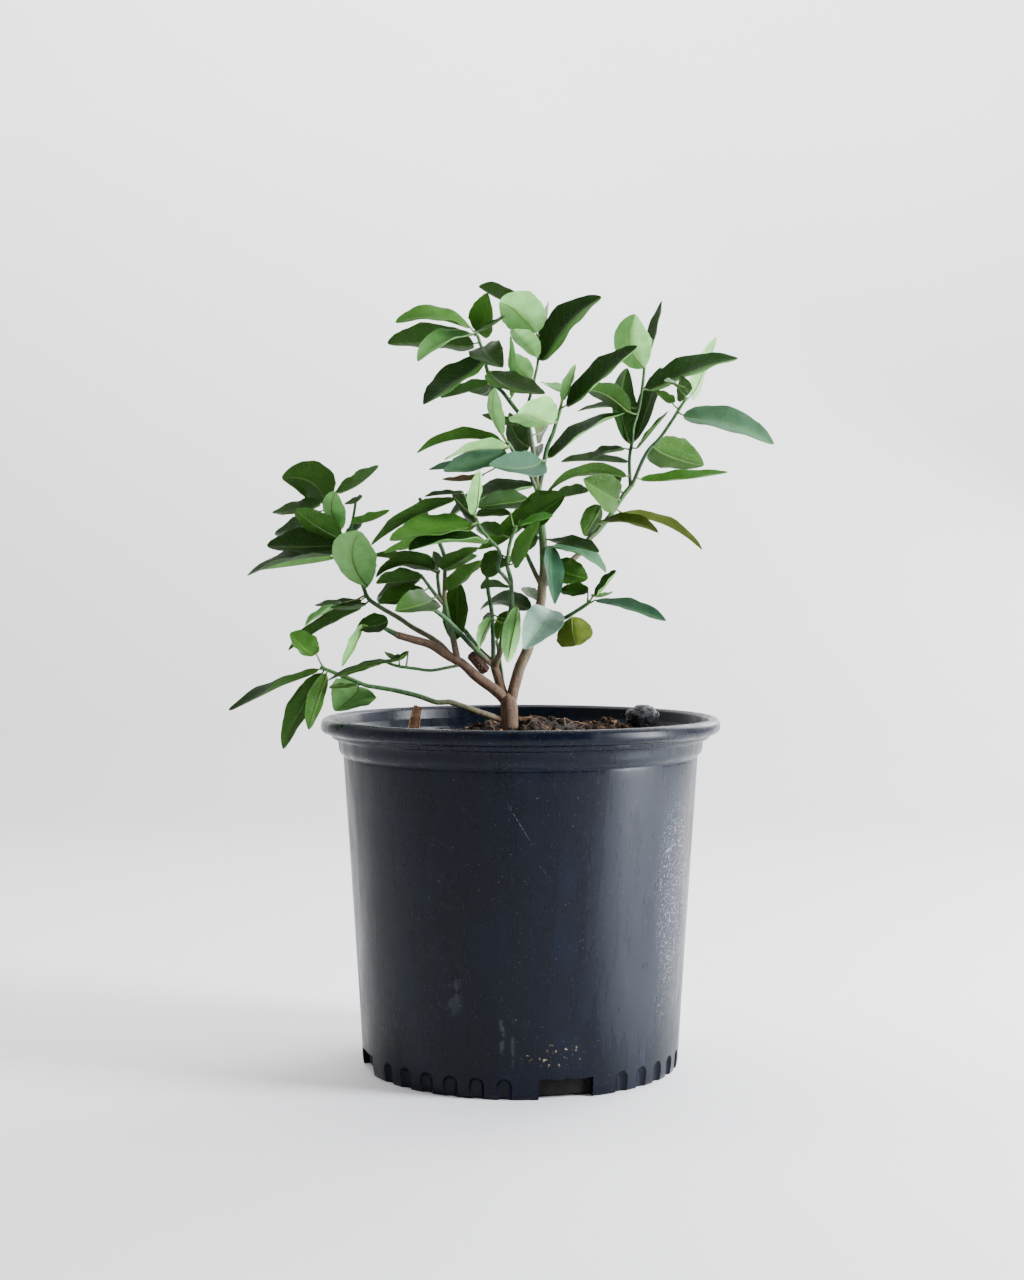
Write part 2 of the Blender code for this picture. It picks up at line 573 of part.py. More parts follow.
def leaf_solid(name, rings, tip, collection):
    mesh = bpy.data.meshes.new(name)
    mesh.from_pydata(leaf_points(rings, tip), [], leaf_faces(rings))
    bm = bmesh.new()
    bm.from_mesh(mesh)
    bmesh.ops.recalc_face_normals(bm, faces=bm.faces)
    bm.to_mesh(mesh)
    bm.free()
    return add_object(name, mesh, collection)


def surface_of(obj):
    mesh = obj.data
    faces = [tuple(f.vertices) for f in mesh.polygons]
    return BVHTree.FromPolygons([v.co for v in mesh.vertices], faces)


def settled(leaf, stems, node, placed, stem_surfaces):
    """How far the tip moves back or forward along the line of sight until the blade is clear."""
    shifts = sorted(range(-MOST_SHIFT, MOST_SHIFT + 1, SHIFT_STEP), key=abs)
    fewest, best, surfaces = None, 0, None
    for shift in shifts:
        rings, tip = leaf_rings(leaf, stems, shift, CLEARANCE)
        points = leaf_points(rings, tip)
        whole = BVHTree.FromPolygons(points, leaf_faces(rings))
        blade = BVHTree.FromPolygons(points, leaf_faces(rings, 2))
        crossed = 0
        for other, other_whole, other_blade in placed:
            alike = other == node
            crossed += bool((blade if alike else whole).overlap(other_blade if alike else other_whole))
        for other, stem in stem_surfaces:
            crossed += bool((blade if other == node else whole).overlap(stem))
        if fewest is None or crossed < fewest:
            fewest, best, surfaces = crossed, shift, (node, whole, blade)
        if not crossed:
            break
    placed.append(surfaces)
    return best


def build_pot(parts, cutters):
    scaled = [(radius * MM, height * MM) for radius, height in POT_INSIDE + POT_OUTSIDE]
    profile = [(0, FLOOR), *scaled, (0, 0)]
    plastic = material("black nursery plastic", (0.012, 0.014, 0.02), 0.42)
    pot = turned("pot", profile, parts, plastic)
    pot.data.materials[0] = plastic
    middle = (NOTCH_INNER + NOTCH_OUTER) / 2
    for i in range(NOTCHES):
        turn = NOTCH_TURN + i * math.tau / NOTCHES
        place_notch(turn, middle, cutters, i)
        for j in range(FLUTES_A_QUARTER):
            offset = (j - (FLUTES_A_QUARTER - 1) / 2) * FLUTE_STEP
            place_flute(turn + math.tau / NOTCHES / 2 + offset, cutters, f"{i}_{j}")
    cut(pot, cutters)
    return pot


def place_notch(turn, middle, cutters, number):
    bm = bmesh.new()
    bmesh.ops.create_cube(bm, size=1)
    size = Matrix.Diagonal((NOTCH_WIDTH, NOTCH_OUTER - NOTCH_INNER, 2 * NOTCH_HEIGHT, 1))
    spot = Matrix.Rotation(turn, 4, "Z") @ Matrix.Translation((0, -middle, 0))
    bmesh.ops.transform(bm, matrix=spot @ size, verts=bm.verts)
    add_cutter(bm, f"notch cutter {number}", cutters)


def place_flute(turn, cutters, number):
    bm = bmesh.new()
    bmesh.ops.create_cone(bm, cap_ends=True, segments=FLUTE_SIDES, radius1=FLUTE_RADIUS,
                          radius2=FLUTE_RADIUS, depth=2 * FLUTE_HEIGHT)
    spot = Matrix.Rotation(turn, 4, "Z") @ Matrix.Translation((0, -FLUTE_CENTRE, 0))
    bmesh.ops.transform(bm, matrix=spot, verts=bm.verts)
    add_cutter(bm, f"flute cutter {number}", cutters)


def add_cutter(bm, name, cutters):
    mesh = bpy.data.meshes.new(name)
    bm.to_mesh(mesh)
    bm.free()
    cutter = add_object(name, mesh, cutters)
    cutter.hide_render = True
    cutter.display_type = "WIRE"
    return cutter


def soil_height(x, y):
    """Height of the soil: mounds at the trunk and behind it, a rise under the pebble and clods."""
    mound = MOUND_HEIGHT * math.exp(-((x - TRUNK_X * MM) ** 2 + y ** 2) / MOUND_RADIUS ** 2)
    bx, by, high = (v * MM for v in BACK_MOUND)
    mound += high * math.exp(-((x - bx) ** 2 + (y - by) ** 2) / BACK_MOUND_RADIUS ** 2)
    px, py, _ = PEBBLE_PLACE
    away = (x - px * MM) ** 2 + (y - py * MM) ** 2
    rise = PEBBLE_RISE * math.exp(-away / PEBBLE_RISE_RADIUS ** 2)
    clods = CLOD * (math.sin(x * 170 + y * 60) + math.sin(y * 150 - x * 40 + 1))
    return SOIL_EDGE + mound + rise + clods


def build_soil(parts, cutters):
    sides = [(r * MM - GAP - 0.1 * MM, h * MM) for r, h in POT_INSIDE if 2 < h < 220]
    top = [(r * MM, SOIL_EDGE) for r in SOIL_RINGS]
    bottom = (POT_INSIDE[0][0] * MM - GAP - 0.1 * MM, SOIL_BOTTOM)
    edge = (sides[-1][0], SOIL_EDGE)
    profile = [(0, SOIL_EDGE), *top, edge, *reversed(sides), bottom, (0, SOIL_BOTTOM)]
    soil = baked(turned("soil", profile, parts))
    for vertex in soil.data.vertices:
        x, y, z = vertex.co
        if z > SOIL_EDGE - MM and math.hypot(x, y) < edge[0] - MM:
            vertex.co.z = soil_height(x, y)
    soil.data.materials.append(material("potting soil", (0.05, 0.03, 0.018), 0.95))
    bm = bmesh.new()
    depth = 2 * (SOIL_EDGE - TRUNK_FOOT * MM + GAP)
    bmesh.ops.create_cone(bm, cap_ends=True, segments=16, radius1=TRUNK_HOLE,
                          radius2=TRUNK_HOLE, depth=depth)
    bmesh.ops.translate(bm, vec=(TRUNK_X * MM, 0, SOIL_EDGE), verts=bm.verts)
    add_cutter(bm, "trunk hole cutter", cutters)
    pebble_mesh("pebble hole cutter", cutters, GAP, hidden=True)
    bark_mesh("bark hole cutter", cutters, GAP, hidden=True)
    cut(soil, cutters)
    return soil


def pebble_mesh(name, collection, grown, hidden=False):
    bm = bmesh.new()
    bmesh.ops.create_icosphere(bm, subdivisions=2, radius=1)
    size = [s * MM + grown for s in PEBBLE_SIZE]
    for vertex in bm.verts:
        x, y, z = vertex.co
        uneven = 1 + 0.07 * math.sin(3 * x + 1) * math.cos(2 * y) + 0.05 * math.sin(4 * z)
        vertex.co = Vector((x * size[0], y * size[1], z * size[2])) * uneven
    bmesh.ops.translate(bm, vec=Vector(PEBBLE_PLACE) * MM, verts=bm.verts)
    return finish_loose(bm, name, collection, hidden)


def bark_mesh(name, collection, grown, hidden=False):
    """A split stick: a tapered bar with uneven sides, leaning in the soil."""
    foot, top = Vector(BARK_FOOT) * MM, Vector(BARK_TOP) * MM
    axis = (top - foot).normalized()
    bm = bmesh.new()
    bmesh.ops.create_cube(bm, size=1)
    bmesh.ops.subdivide_edges(bm, edges=bm.edges[:], cuts=1, use_grid_fill=True)
    width, thick = (s * MM + 2 * grown for s in BARK_SIZE)
    long = (top - foot).length + 2 * grown
    for vertex in bm.verts:
        x, y, z = vertex.co
        slim = 1 - 0.35 * (z + 0.5) + 0.12 * math.sin(7 * z + 3 * x)
        vertex.co = Vector((x * width * slim, y * thick * slim, z * long))
    turn = Vector((0, 0, 1)).rotation_difference(axis).to_matrix().to_4x4()
    bmesh.ops.transform(bm, matrix=Matrix.Translation((foot + top) / 2) @ turn, verts=bm.verts)
    bmesh.ops.triangulate(bm, faces=bm.faces)
    return finish_loose(bm, name, collection, hidden)


def finish_loose(bm, name, collection, hidden):
    if hidden:
        return add_cutter(bm, name, collection)
    mesh = bpy.data.meshes.new(name)
    bm.to_mesh(mesh)
    bm.free()
    return add_object(name, mesh, collection)


def build_tree(parts):
    bark = material("lemon bark", (0.2, 0.13, 0.09), 0.8)
    leafy = material("lemon leaf", (0.05, 0.15, 0.03), 0.35)
    green = material("green shoot", (0.06, 0.14, 0.07), 0.5)
    pieces = {"trunk": [stem_solid("wood", stem, parts, 3 if stem[1] > 5 else 2) for stem in WOOD]}
    stems = {}
    for name, data in SHOOTS.items():
        spur, stems[name] = split_spur(data)
        pieces[name] = [stem_solid("stem", stem, parts, 2 if stem[1] > 3 else 1) for stem in stems[name]]
        pieces[data["parent"]].append(stem_solid("spur", spur, parts, 2 if spur[1] > 3 else 1))
    surfaces = [(name, surface_of(obj)) for name, group in pieces.items() for obj in group]
    placed = []
    for name, data in SHOOTS.items():
        for leaf in data["leaves"]:
            shift = settled(leaf, stems[name], name, placed, surfaces)
            rings, tip = leaf_rings(leaf, stems[name], shift, LEAF_THICK)
            pieces[name].append(leaf_solid("leaf", rings, tip, parts))
    for name, group in pieces.items():
        leaves = name != "trunk" and SHOOTS[name]["leaves"]
        look = bark if name == "trunk" else leafy if leaves else green
        united(name, group, parts, look)


def build_loose(parts):
    pebble = pebble_mesh("pebble", parts, 0)
    pebble.data.materials.append(material("pebble stone", (0.16, 0.12, 0.09), 0.85))
    bark = bark_mesh("bark_stick", parts, 0)
    bark.data.materials.append(material("dead bark", (0.14, 0.08, 0.05), 0.9))


def main():
    clear_scene()
    parts = new_collection("potted lemon tree")
    pot_cutters = new_collection("pot cutters", hidden=True)
    soil_cutters = new_collection("soil cutters", hidden=True)
    build_pot(parts, pot_cutters)
    build_soil(parts, soil_cutters)
    build_tree(parts)
    build_loose(parts)


if __name__ == "__main__":
    main()
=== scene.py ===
import json
import math
import random

import bmesh
import bpy
from mathutils import Matrix, Quaternion, Vector, kdtree, noise

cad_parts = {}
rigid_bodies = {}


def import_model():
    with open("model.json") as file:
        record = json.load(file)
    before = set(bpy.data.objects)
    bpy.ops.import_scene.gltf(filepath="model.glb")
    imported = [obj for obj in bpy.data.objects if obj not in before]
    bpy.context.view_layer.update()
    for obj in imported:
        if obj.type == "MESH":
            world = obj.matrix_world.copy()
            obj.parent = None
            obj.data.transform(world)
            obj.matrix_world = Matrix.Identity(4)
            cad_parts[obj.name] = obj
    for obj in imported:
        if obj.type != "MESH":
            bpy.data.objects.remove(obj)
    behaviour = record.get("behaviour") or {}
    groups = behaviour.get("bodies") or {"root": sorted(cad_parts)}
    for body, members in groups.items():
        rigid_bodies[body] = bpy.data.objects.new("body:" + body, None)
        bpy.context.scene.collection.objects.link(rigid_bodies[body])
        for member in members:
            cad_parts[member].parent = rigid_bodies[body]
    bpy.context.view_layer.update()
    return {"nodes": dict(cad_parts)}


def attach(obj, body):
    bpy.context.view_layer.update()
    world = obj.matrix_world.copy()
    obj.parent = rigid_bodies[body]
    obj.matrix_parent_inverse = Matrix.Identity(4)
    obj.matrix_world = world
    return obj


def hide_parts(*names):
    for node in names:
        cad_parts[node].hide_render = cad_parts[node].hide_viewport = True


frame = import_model()
mm = 0.001

# Camera, at the eye that the tree was measured from
eye = {"distance": 1.362, "height": 0.334, "lens": 54.53, "pitchDown": 1.575, "turnLeft": 0.25}

# Leaf colours, linear: upper face, lower face
tones = {
    "d": ((0.008, 0.032, 0.0025), (0.022, 0.065, 0.008)),  # dark and glossy
    "m": ((0.019, 0.062, 0.004), (0.035, 0.1, 0.012)),  # mid green
    "o": ((0.042, 0.06, 0.004), (0.07, 0.1, 0.012)),  # olive
    "l": ((0.045, 0.14, 0.015), (0.075, 0.2, 0.03)),  # light green
    "p": ((0.17, 0.43, 0.11), (0.22, 0.5, 0.15)),  # pale, lit from behind
    "f": ((0.085, 0.19, 0.105), (0.1, 0.2, 0.12)),  # pale bluish grey: a strong painted sheen
    "b": ((0.03, 0.09, 0.05), (0.06, 0.14, 0.085)),  # bluish: a painted sheen
    "g": ((0.04, 0.24, 0.004), (0.06, 0.26, 0.008)),  # bright green
    "y": ((0.07, 0.11, 0.006), (0.12, 0.17, 0.02)),  # yellow-green
    "s": ((0.22, 0.37, 0.29), (0.2, 0.33, 0.25)),  # silvery
    "t": ((0.007, 0.027, 0.003), (0.12, 0.3, 0.07)),  # dark, with painted backlight on one half
    "w": ((0.06, 0.035, 0.015), (0.09, 0.05, 0.025)),  # withered
}

# How the CAD model's blades lie, repeated so that the fine leaves lie where they do
bladeRule = {"fold": 28, "mostHalf": 19.5, "broader": 1.12, "curl": 0.07, "rounded": 0.55, "pointed": 0.5,
             "rootSink": 2, "rootShare": 0.4, "spurGap": 0.3, "startDepth": 0.15, "mostRoll": 78,
             "rollStep": 2, "cadThick": 0.7, "stations": (0.13, 0.36, 0.62, 0.85), "mostShift": 66,
             "shiftStep": 6, "farMiss": 2, "tie": 0.01}

trunkX = -7.4
trunkFoot = 178


def shoot(parent, spur, stems, leaves):
    # The parent's node, the woody spur's length in mm, the stems and the leaves
    return {"parent": parent, "spur": spur, "stems": stems, "leaves": leaves}


# Stems are ((x, z, depth), ...), first radius, last radius, in mm. x and z are read on the plane
# through the pot's axis, depth is how far behind it the stem lies.
# Leaves are (base x, base z, tip x, tip z, depth of the tip behind the stem, width as it shows,
# roll in degrees, arch). Roll 0 is edge-on, above 0 shows the upper face, below 0 the underside.
# A pair of rolls is a twisted blade. The arch is how far the rib rises above its chord as it shows.
# The letter at the end is the leaf's tone.
wood = [
    (((trunkX, trunkFoot, 0), (trunkX, 236, 0), (-8.6, 255, 0)), 6.6, 6.3),
    (((-9, 247, 0), (-10.9, 254.4, 0), (-17.9, 261.4, -1), (-30.6, 270.6, -2), (-41.4, 280.4, -3),
      (-50.2, 285, -4), (-62.9, 293.1, -6), (-74.5, 296.6, -8), (-86.7, 300.1, -10)), 4.4, 2.6),
    (((-9.5, 248, 0), (-13, 261.4, 2), (-17.9, 276.2, 5), (-18.6, 281, 6)), 3.8, 3.1),
    (((-8, 248, 0), (-4.6, 262.9, 1)), 4.6, 4.2),
    (((-34, 286, -5), (-25, 275.5, 4)), 4.2, 4.2),
]

shoots = {
    "left_spur_shoot": shoot("trunk", 3, [
        (((-85.5, 299.7, -9.8), (-95.2, 304.6, -12), (-97, 306, -12.5)), 2.2, 1.4),
    ], [
        (-93.1, 310.6, -114.8, 305.7, 10, 12.5, 50, 1, "d"),
        (-111.4, 307.3, -126, 278, -15, 6, -30, 1, "p"),
    ]),
    "low_shoot": shoot("trunk", 12, [
        (((-8, 238.5, 0), (-27.7, 245.3, -8), (-41.4, 250.2, -12), (-50.2, 253, -14),
          (-58.6, 252.6, -16), (-72, 257.2, -18), (-89.6, 261.4, -20), (-107.8, 264.3, -23),
          (-111.6, 265.7, -24), (-121.4, 269.9, -26), (-128.9, 272.7, -27), (-140.1, 277.2, -29)),
         2.2, 1.3),
    ], [
        (-142.2, 276, -205.5, 247.4, -10, 8.5, (-15, 30), 4, "d"),
        (-139.4, 273, -167.2, 220, 15, 14, 50, 5, "m"),
        (-136.6, 273, -149.3, 233.7, -25, 11, -55, 2.3, "m"),
        (-143.6, 287, -161.9, 301.5, 0, 14, 40, 2.5, "l"),
        (-114.1, 264, -131, 247, 35, 28, -70, 0.7, "p"),
        (-114.8, 265.7, -134.5, 263, -20, 4, 5, 1, "m"),
    ]),
    "side_shoot": shoot("trunk", 8, [
        (((-41.4, 279, -3), (-62.9, 275.1, -12), (-72, 276.2, -15), (-87, 278.3, -18),
          (-95.2, 281.5, -20)), 1.2, 1.1),
    ], [
        (-85.3, 283, -135.9, 268, -30, 4, 10, 4, "d"),
        (-95.2, 282.5, -125.7, 271.2, 5, 5.5, -25, 2, "m"),
        (-78.8, 289, -95.9, 288.8, 0, 5, 10, -4, "m"),
    ]),
    "left_shoot": shoot("trunk", 14, [
        (((-46, 282.6, -4), (-55.8, 293.1, 2), (-63.6, 298.7, 6), (-76.2, 305.7, 12),
          (-85.3, 312, 16), (-98.7, 319.7, 22), (-107.1, 326.1, 26), (-111.3, 336.6, 30),
          (-118.4, 352.8, 34), (-124, 366.1, 38), (-131, 382.3, 42), (-135.2, 392.8, 44)), 2, 1.2),
        (((-121.9, 361.2, 36.5), (-118.4, 377.3, 30), (-116.2, 389.3, 26), (-115.5, 394.9, 24)),
         1.2, 1),
    ], [
        (-136.6, 395, -167.5, 410.4, 15, 27, -75, 9, "m"),
        (-129.5, 401, -99.4, 419, 10, 9.5, -20, 1, "d"),
        (-126.1, 374, -130, 401, -20, 15, -60, -2, "p"),
        (-140.1, 393, -174.2, 386.5, 25, 10, 20, 1.5, "m"),
        (-126.1, 369, -157.7, 389, -35, 15.5, -50, 1, "m"),
        (-142.2, 386.5, -172.4, 372.4, 35, 10, 25, 0.5, "d"),
        (-126.8, 366, -178.1, 363, -15, 17, 35, 4, "d"),
        (-130.3, 358, -192.1, 342, 5, 9, 10, 7.5, "d"),
        (-130.3, 355, -184.4, 346, 30, 6, -20, 2, "t"),
        (-107.1, 334.5, -112.5, 373, -40, 29, -75, -6, "p"),
        (-119, 380, -91.7, 388, -5, 6.5, -20, 0, "l"),
        (-121.9, 393.5, -111, 397.6, 0, 4.5, 10, 0, "d"),
        (-121.2, 370, -110.6, 383.7, 20, 6.5, 30, 1, "m"),
        (-111.3, 325, -144.5, 321, 20, 5.5, -10, 1, "d"),
        (-108.5, 322.6, -133.8, 319.7, -10, 7, 10, 1, "m"),
        (-112, 320, -163.3, 289.5, -35, 8.5, -25, 6, "d"),
        (-123.3, 322.6, -151.4, 307, -5, 5.5, 10, 4, "p"),
    ]),
    "inner_left_shoot": shoot("trunk", 9, [
        (((-44, 281.5, -3), (-47.6, 298.7, -8), (-51.2, 312, -10), (-53.7, 324.7, -12)), 2.5, 2),
        (((-53.4, 321.2, -11.5), (-60.1, 328.9, -15), (-69.9, 342.2, -20)), 1.5, 1.2),
        (((-53.6, 322.5, -12), (-56.5, 328, -7), (-58.3, 342.2, -2), (-57.2, 345, 0)), 1.5, 1.3),
        (((-53.6, 323.5, -12), (-53, 347.4, -20), (-53.7, 356.3, -23), (-58.6, 368.9, -26),
          (-64.3, 381.6, -28), (-70.6, 395.6, -30)), 1.7, 1.4),
    ], [
        (-57.9, 347, -61.5, 359, 20, 8.5, -50, 1, "d"),
        (-63.6, 346, -104.3, 356, 25, 6.5, -20, 5, "m"),
        (-60.8, 347, -101.5, 341, -20, 10, -25, 11, "d"),
        (-69.9, 341.5, -101.5, 336.6, 0, 10, -20, 4, "d"),
        (-70.6, 340, -100.8, 327, 30, 12.5, 40, 2.3, "d"),
        (-67.8, 331, -100.1, 323, 5, 12, 35, 3.3, "m"),
        (-62.2, 326, -88.1, 317, -30, 17, 55, 1.7, "m"),
        (-67.1, 381, -86, 379, 15, 5.5, -15, 3, "d"),
        (-56.5, 368, -96.2, 358, -5, 6.5, -30, 3, "l"),
        (-55.8, 347, -29.9, 362, -25, 8.5, -25, 3, "m"),
        (-52.3, 346, -30.6, 355.6, 0, 6.5, -15, 2, "d"),
        (-50.9, 332, -28.4, 352.8, -35, 10, -30, 3, "m"),
        (-46, 296.6, -44.6, 338.7, 35, 17, 65, 1.3, "m"),
    ]),
    "cut_shoot_1": shoot("trunk", 25, [
        (((-19.5, 278.5, 5), (-35.5, 293.8, -13), (-46, 305, -24), (-56.5, 314.8, -30),
          (-69.2, 323.3, -34)), 1.8, 1.6),
    ], []),
    "cut_shoot_2": shoot("trunk", 6, [
        (((-18.6, 280.4, 6), (-28.4, 289.5, 14), (-38.3, 302.2, 12), (-46, 310.6, 10),
          (-53, 324.7, 6)), 1.8, 1.6),
    ], []),
    "cut_shoot_3": shoot("trunk", 6, [
        (((-19, 280, 6), (-19.3, 298.7, 13), (-20.3, 317.2, 17), (-22.8, 331.7, 20),
          (-23.5, 342.9, 22)), 1.8, 1.6),
    ], []),
    "cut_shoot_4": shoot("trunk", 13, [
        (((-11, 257, 1), (-13.7, 276.2, 15), (-15.4, 288.8, 20), (-16.7, 295.8, 24)), 1.5, 1.3),
    ], []),
    "middle_shoot": shoot("trunk", 7, [
        (((-18.2, 277, 5), (-14, 289.5, -4), (-11.6, 302.9, -8), (-7.7, 313.6, -11),
          (-6.4, 321.1, -13), (-6.7, 338.7, -16), (-9.1, 347.4, -18), (-8.8, 356.3, -20),
          (-6.7, 367.2, -22), (-3.2, 375.2, -24)), 2.4, 1.2),
    ], [
        (-0.4, 381, 31.3, 398.4, -20, 21, 55, 1.7, "m"),
        (-2.5, 378, 22.8, 383.7, -55, 6, 20, 2, "g"),
        (-5.3, 350, 13.7, 380.9, -50, 11, 50, 2, "l"),
        (-7.4, 386.5, -31.3, 383.7, 25, 7.5, -30, 3, "d"),
        (-12.3, 370, -29.1, 378, 30, 11, 50, 1.3, "l"),
        (-12.3, 356, -27.7, 345, -30, 15.5, 60, 1, "m"),
        (-9.5, 355, -16.5, 347, 0, 7, -30, 0, "d"),
        (-8.1, 334.5, -27.7, 332.7, 35, 6.5, -20, 4, "m"),
        (-21.4, 315.5, -27.7, 306.4, 30, 5.5, 40, 0, "d"),
        (-20.7, 312, -29.1, 291, -25, 7, -40, 3, "p"),
        (-9.5, 317, -16.5, 296.6, 20, 9, -60, 1, "m"),
        (-2.5, 320, -9.1, 281.1, -30, 12, -65, 1.3, "p"),
    ]),
    "middle_side_shoot": shoot("middle_shoot", 4, [
        (((-6.6, 335.2, -15.5), (-12.5, 342.5, -23), (-15.8, 347.1, -27), (-14.4, 358.4, -33),
          (-21.4, 366.8, -38), (-28.4, 375.2, -42), (-32, 384.4, -46)), 1.4, 1.2),
    ], [
        (-33, 385, -29.1, 416, -30, 8.5, -35, 2, "p"),
        (-31.3, 381, -48.1, 399, 30, 10, -30, 2, "d"),
        (-40.4, 400.5, -67.1, 397.4, 20, 3.5, -5, 2, "d"),
        (-46, 396, -105, 363.3, 10, 9, -20, 7, "d"),
        (-33.4, 378, -91.7, 366.8, -25, 14, 15, 7, "l"),
        (-23.5, 366, -78.3, 359.8, -45, 12, 15, 9, "t"),
    ]),
    "centre_shoot": shoot("trunk", 9, [
        (((-4.6, 262.9, 1), (-0.4, 277.6, 3), (4.6, 288.8, 5), (8.8, 303.6, 6), (14.2, 322.6, 8),
          (15.1, 333.8, 9), (16.5, 347.4, 10), (15.8, 365.4, 11), (14.2, 383.3, 12),
          (12.9, 398.4, 13), (11.8, 404, 13)), 4.2, 2.6),
        (((15.1, 333.8, 9), (10.6, 342.9, 12), (4.4, 356.3, 18)), 2, 1.6),
    ], [
        (8.8, 405.4, -51.6, 381.6, 0, 12, 15, 9.5, "t"),
        (5.3, 396.3, -32, 390, -20, 13, 45, 2.5, "d"),
        (6, 395.6, -29.9, 360.5, -15, 12, 45, -4, "l"),
        (22.8, 398.4, 47.4, 400.9, 20, 8.5, -25, 3, "d"),
        (12.7, 369, 3.9, 363, 15, 7, 50, 0, "d"),
        (11, 377, 6.7, 363, 25, 5.5, -30, 0, "d"),
        (21.4, 367.5, 55.1, 358.4, -30, 8.5, 20, 4, "d"),
        (22.8, 362.6, 60.1, 344.3, -10, 8.5, 25, 8, "f"),
        (22.8, 361.9, 23.9, 321.9, -50, 12.5, 50, 1.3, "b"),
        (22.8, 349, 47.4, 340, 0, 17, 60, 1, "m"),
        (6.7, 318.3, -28.4, 318, 25, 9, 30, 10, "d"),
        (12.3, 325, 5, 334, 35, 8.5, 50, 0, "m"),
        (21.4, 317.6, 2.5, 290.2, -45, 24, 75, 0.8, "s"),
    ]),
    "low_right_shoot": shoot("centre_shoot", 8, [
        (((9.5, 304.5, 6), (27, 309.9, -10), (40.4, 317.6, -22), (48.8, 323.3, -30)), 1.6, 1.3),
    ], [
        (51.6, 328, 67.4, 345.4, -10, 6.5, 15, 2, "t"),
        (52.5, 324.7, 102.2, 310.3, -25, 6, (10, 40), 5, "b"),
        (51, 328, 64, 330, 30, 3, 0, 0, "m"),
        (47.4, 331, 27.7, 331.7, 10, 8.5, 35, 2, "m"),
        (36.2, 313, 39, 293, -20, 24, -80, 0.3, "y"),
    ]),
    "crown_left_shoot": shoot("centre_shoot", 6, [
        (((11.8, 401, 13), (10.2, 419.1, 13), (8.5, 431.4, 13), (6, 445, 12), (3.2, 451.1, 11),
          (-3.2, 458.1, 8), (-13, 470.8, 2), (-20.7, 477.1, -2), (-23.5, 486.2, -4),
          (-27, 500.3, -6), (-30.6, 511.5, -8)), 2, 1.2),
    ], [
        (-35.5, 516, -87.4, 519, -25, 10, 25, 9.5, "l"),
        (-32.7, 504, -93.1, 504.5, 20, 17, -35, 7, "d"),
        (-34.1, 511, -72, 492, -45, 10.3, 30, 9, "p"),
        (-30.6, 513, -22.8, 539.6, -40, 17.5, 60, 0, "l"),
        (-31.3, 513.5, -10.9, 523.4, -55, 3.5, 5, 0, "d"),
        (-25.5, 502, -12.3, 487.6, -50, 20, 70, 0, "m"),
        (-26.3, 495, -68, 462, -30, 15.5, 22, 4.5, "t"),
        (-22, 478.5, -55.8, 466.6, 10, 8, -20, 2, "d"),
        (-21, 475, -36, 470.7, 45, 9.5, -50, -2, "d"),
        (-20.8, 485, 17.2, 469.4, -40, 13.5, 35, 0, "m"),
        (-6, 467, -7, 510, -30, 5.5, -30, 2, "p"),
        (-1.1, 450, -27, 454.5, 25, 6.5, -25, 0, "d"),
        (6.5, 432, -8, 456, 25, 18, -70, -2.5, "d"),
        (10.5, 423, 11.5, 432.5, 40, 8.5, 60, 0, "m"),
        (10.9, 441, 20.7, 451.8, 40, 12.5, -50, 1.3, "o"),
    ]),
    "crown_right_shoot": shoot("crown_left_shoot", 4, [
        (((4, 449.5, 11.4), (5.3, 461.6, 20), (8.1, 472.2, 26), (10, 480.6, 30), (12.3, 492.5, 35),
          (11.6, 510.1, 38)), 1.3, 1),
    ], [
        (6.7, 514, -29.1, 543.8, 40, 11, -20, 9, "d"),
        (10.9, 512, -14.5, 533.5, -20, 28, -70, 5.5, "p"),
        (13.7, 511, 6, 535.4, 30, 4, -20, 2, "l"),
        (12.3, 504, 19.3, 534, 40, 3.5, 0, 0, "m"),
        (14.4, 492.5, 56.5, 536.8, 5, 18, 25, 10.5, "t"),
        (11.6, 495, -4.8, 514, -50, 13, -50, 3, "p"),
        (7.4, 480, -6, 497.5, -15, 14, -60, 0, "p"),
    ]),
    "crown_front_shoot": shoot("centre_shoot", 6, [
        (((11.6, 401.5, 13), (4.4, 417.4, -2), (-0.4, 422.3, -8), (-5.3, 429.3, -14),
          (-8.8, 434.9, -18)), 1.6, 1.3),
    ], [
        (-12.3, 441, -17, 473, -35, 10, -50, -2, "p"),
        (-14.4, 442, -21.4, 471.5, 0, 4, -20, 2, "l"),
        (-14.4, 437, -72.7, 427.9, -5, 8, -20, 9.5, "m"),
        (-10.8, 432, -53, 423, -45, 6.5, -15, 6.3, "p"),
        (-10.9, 430, -54.1, 415.3, -30, 14.5, 40, 1.5, "f"),
        (-9.8, 431, -35.5, 430, 20, 5, -10, 2, "d"),
        (-14.4, 421, -64.3, 416.3, 15, 7, -20, 3, "b"),
        (-25.6, 413, -55.1, 409.6, 10, 4.5, -10, -0.5, "w"),
    ]),
    "crown_back_shoot": shoot("centre_shoot", 6, [
        (((12.5, 401, 13), (15.8, 416.7, 22), (18.6, 431.4, 22), (22.8, 441.3, 19),
          (24.7, 447.9, 17), (26.8, 453.9, 16), (28.4, 460.9, 15)), 2, 1.3),
    ], [
        (22.9, 449, -2, 456, -35, 22, -45, 6, "p"),
        (14.4, 423, -22, 419.5, -35, 17, 50, -0.5, "b"),
        (32, 461, 81.8, 502.4, -20, 13.5, 25, 6, "t"),
        (29.9, 465, 38.3, 489.7, -15, 6.5, -30, 2, "p"),
        (29.1, 471.5, 17.9, 477, 40, 6.5, 20, 2, "p"),
        (20, 424.4, 72.7, 455.7, 25, 9.5, 18, 8, "t"),
    ]),
    "right_shoot": shoot("centre_shoot", 7, [
        (((15.4, 334, 9), (31.3, 348.5, 22), (43.9, 359.8, 30), (47.8, 367.2, 33),
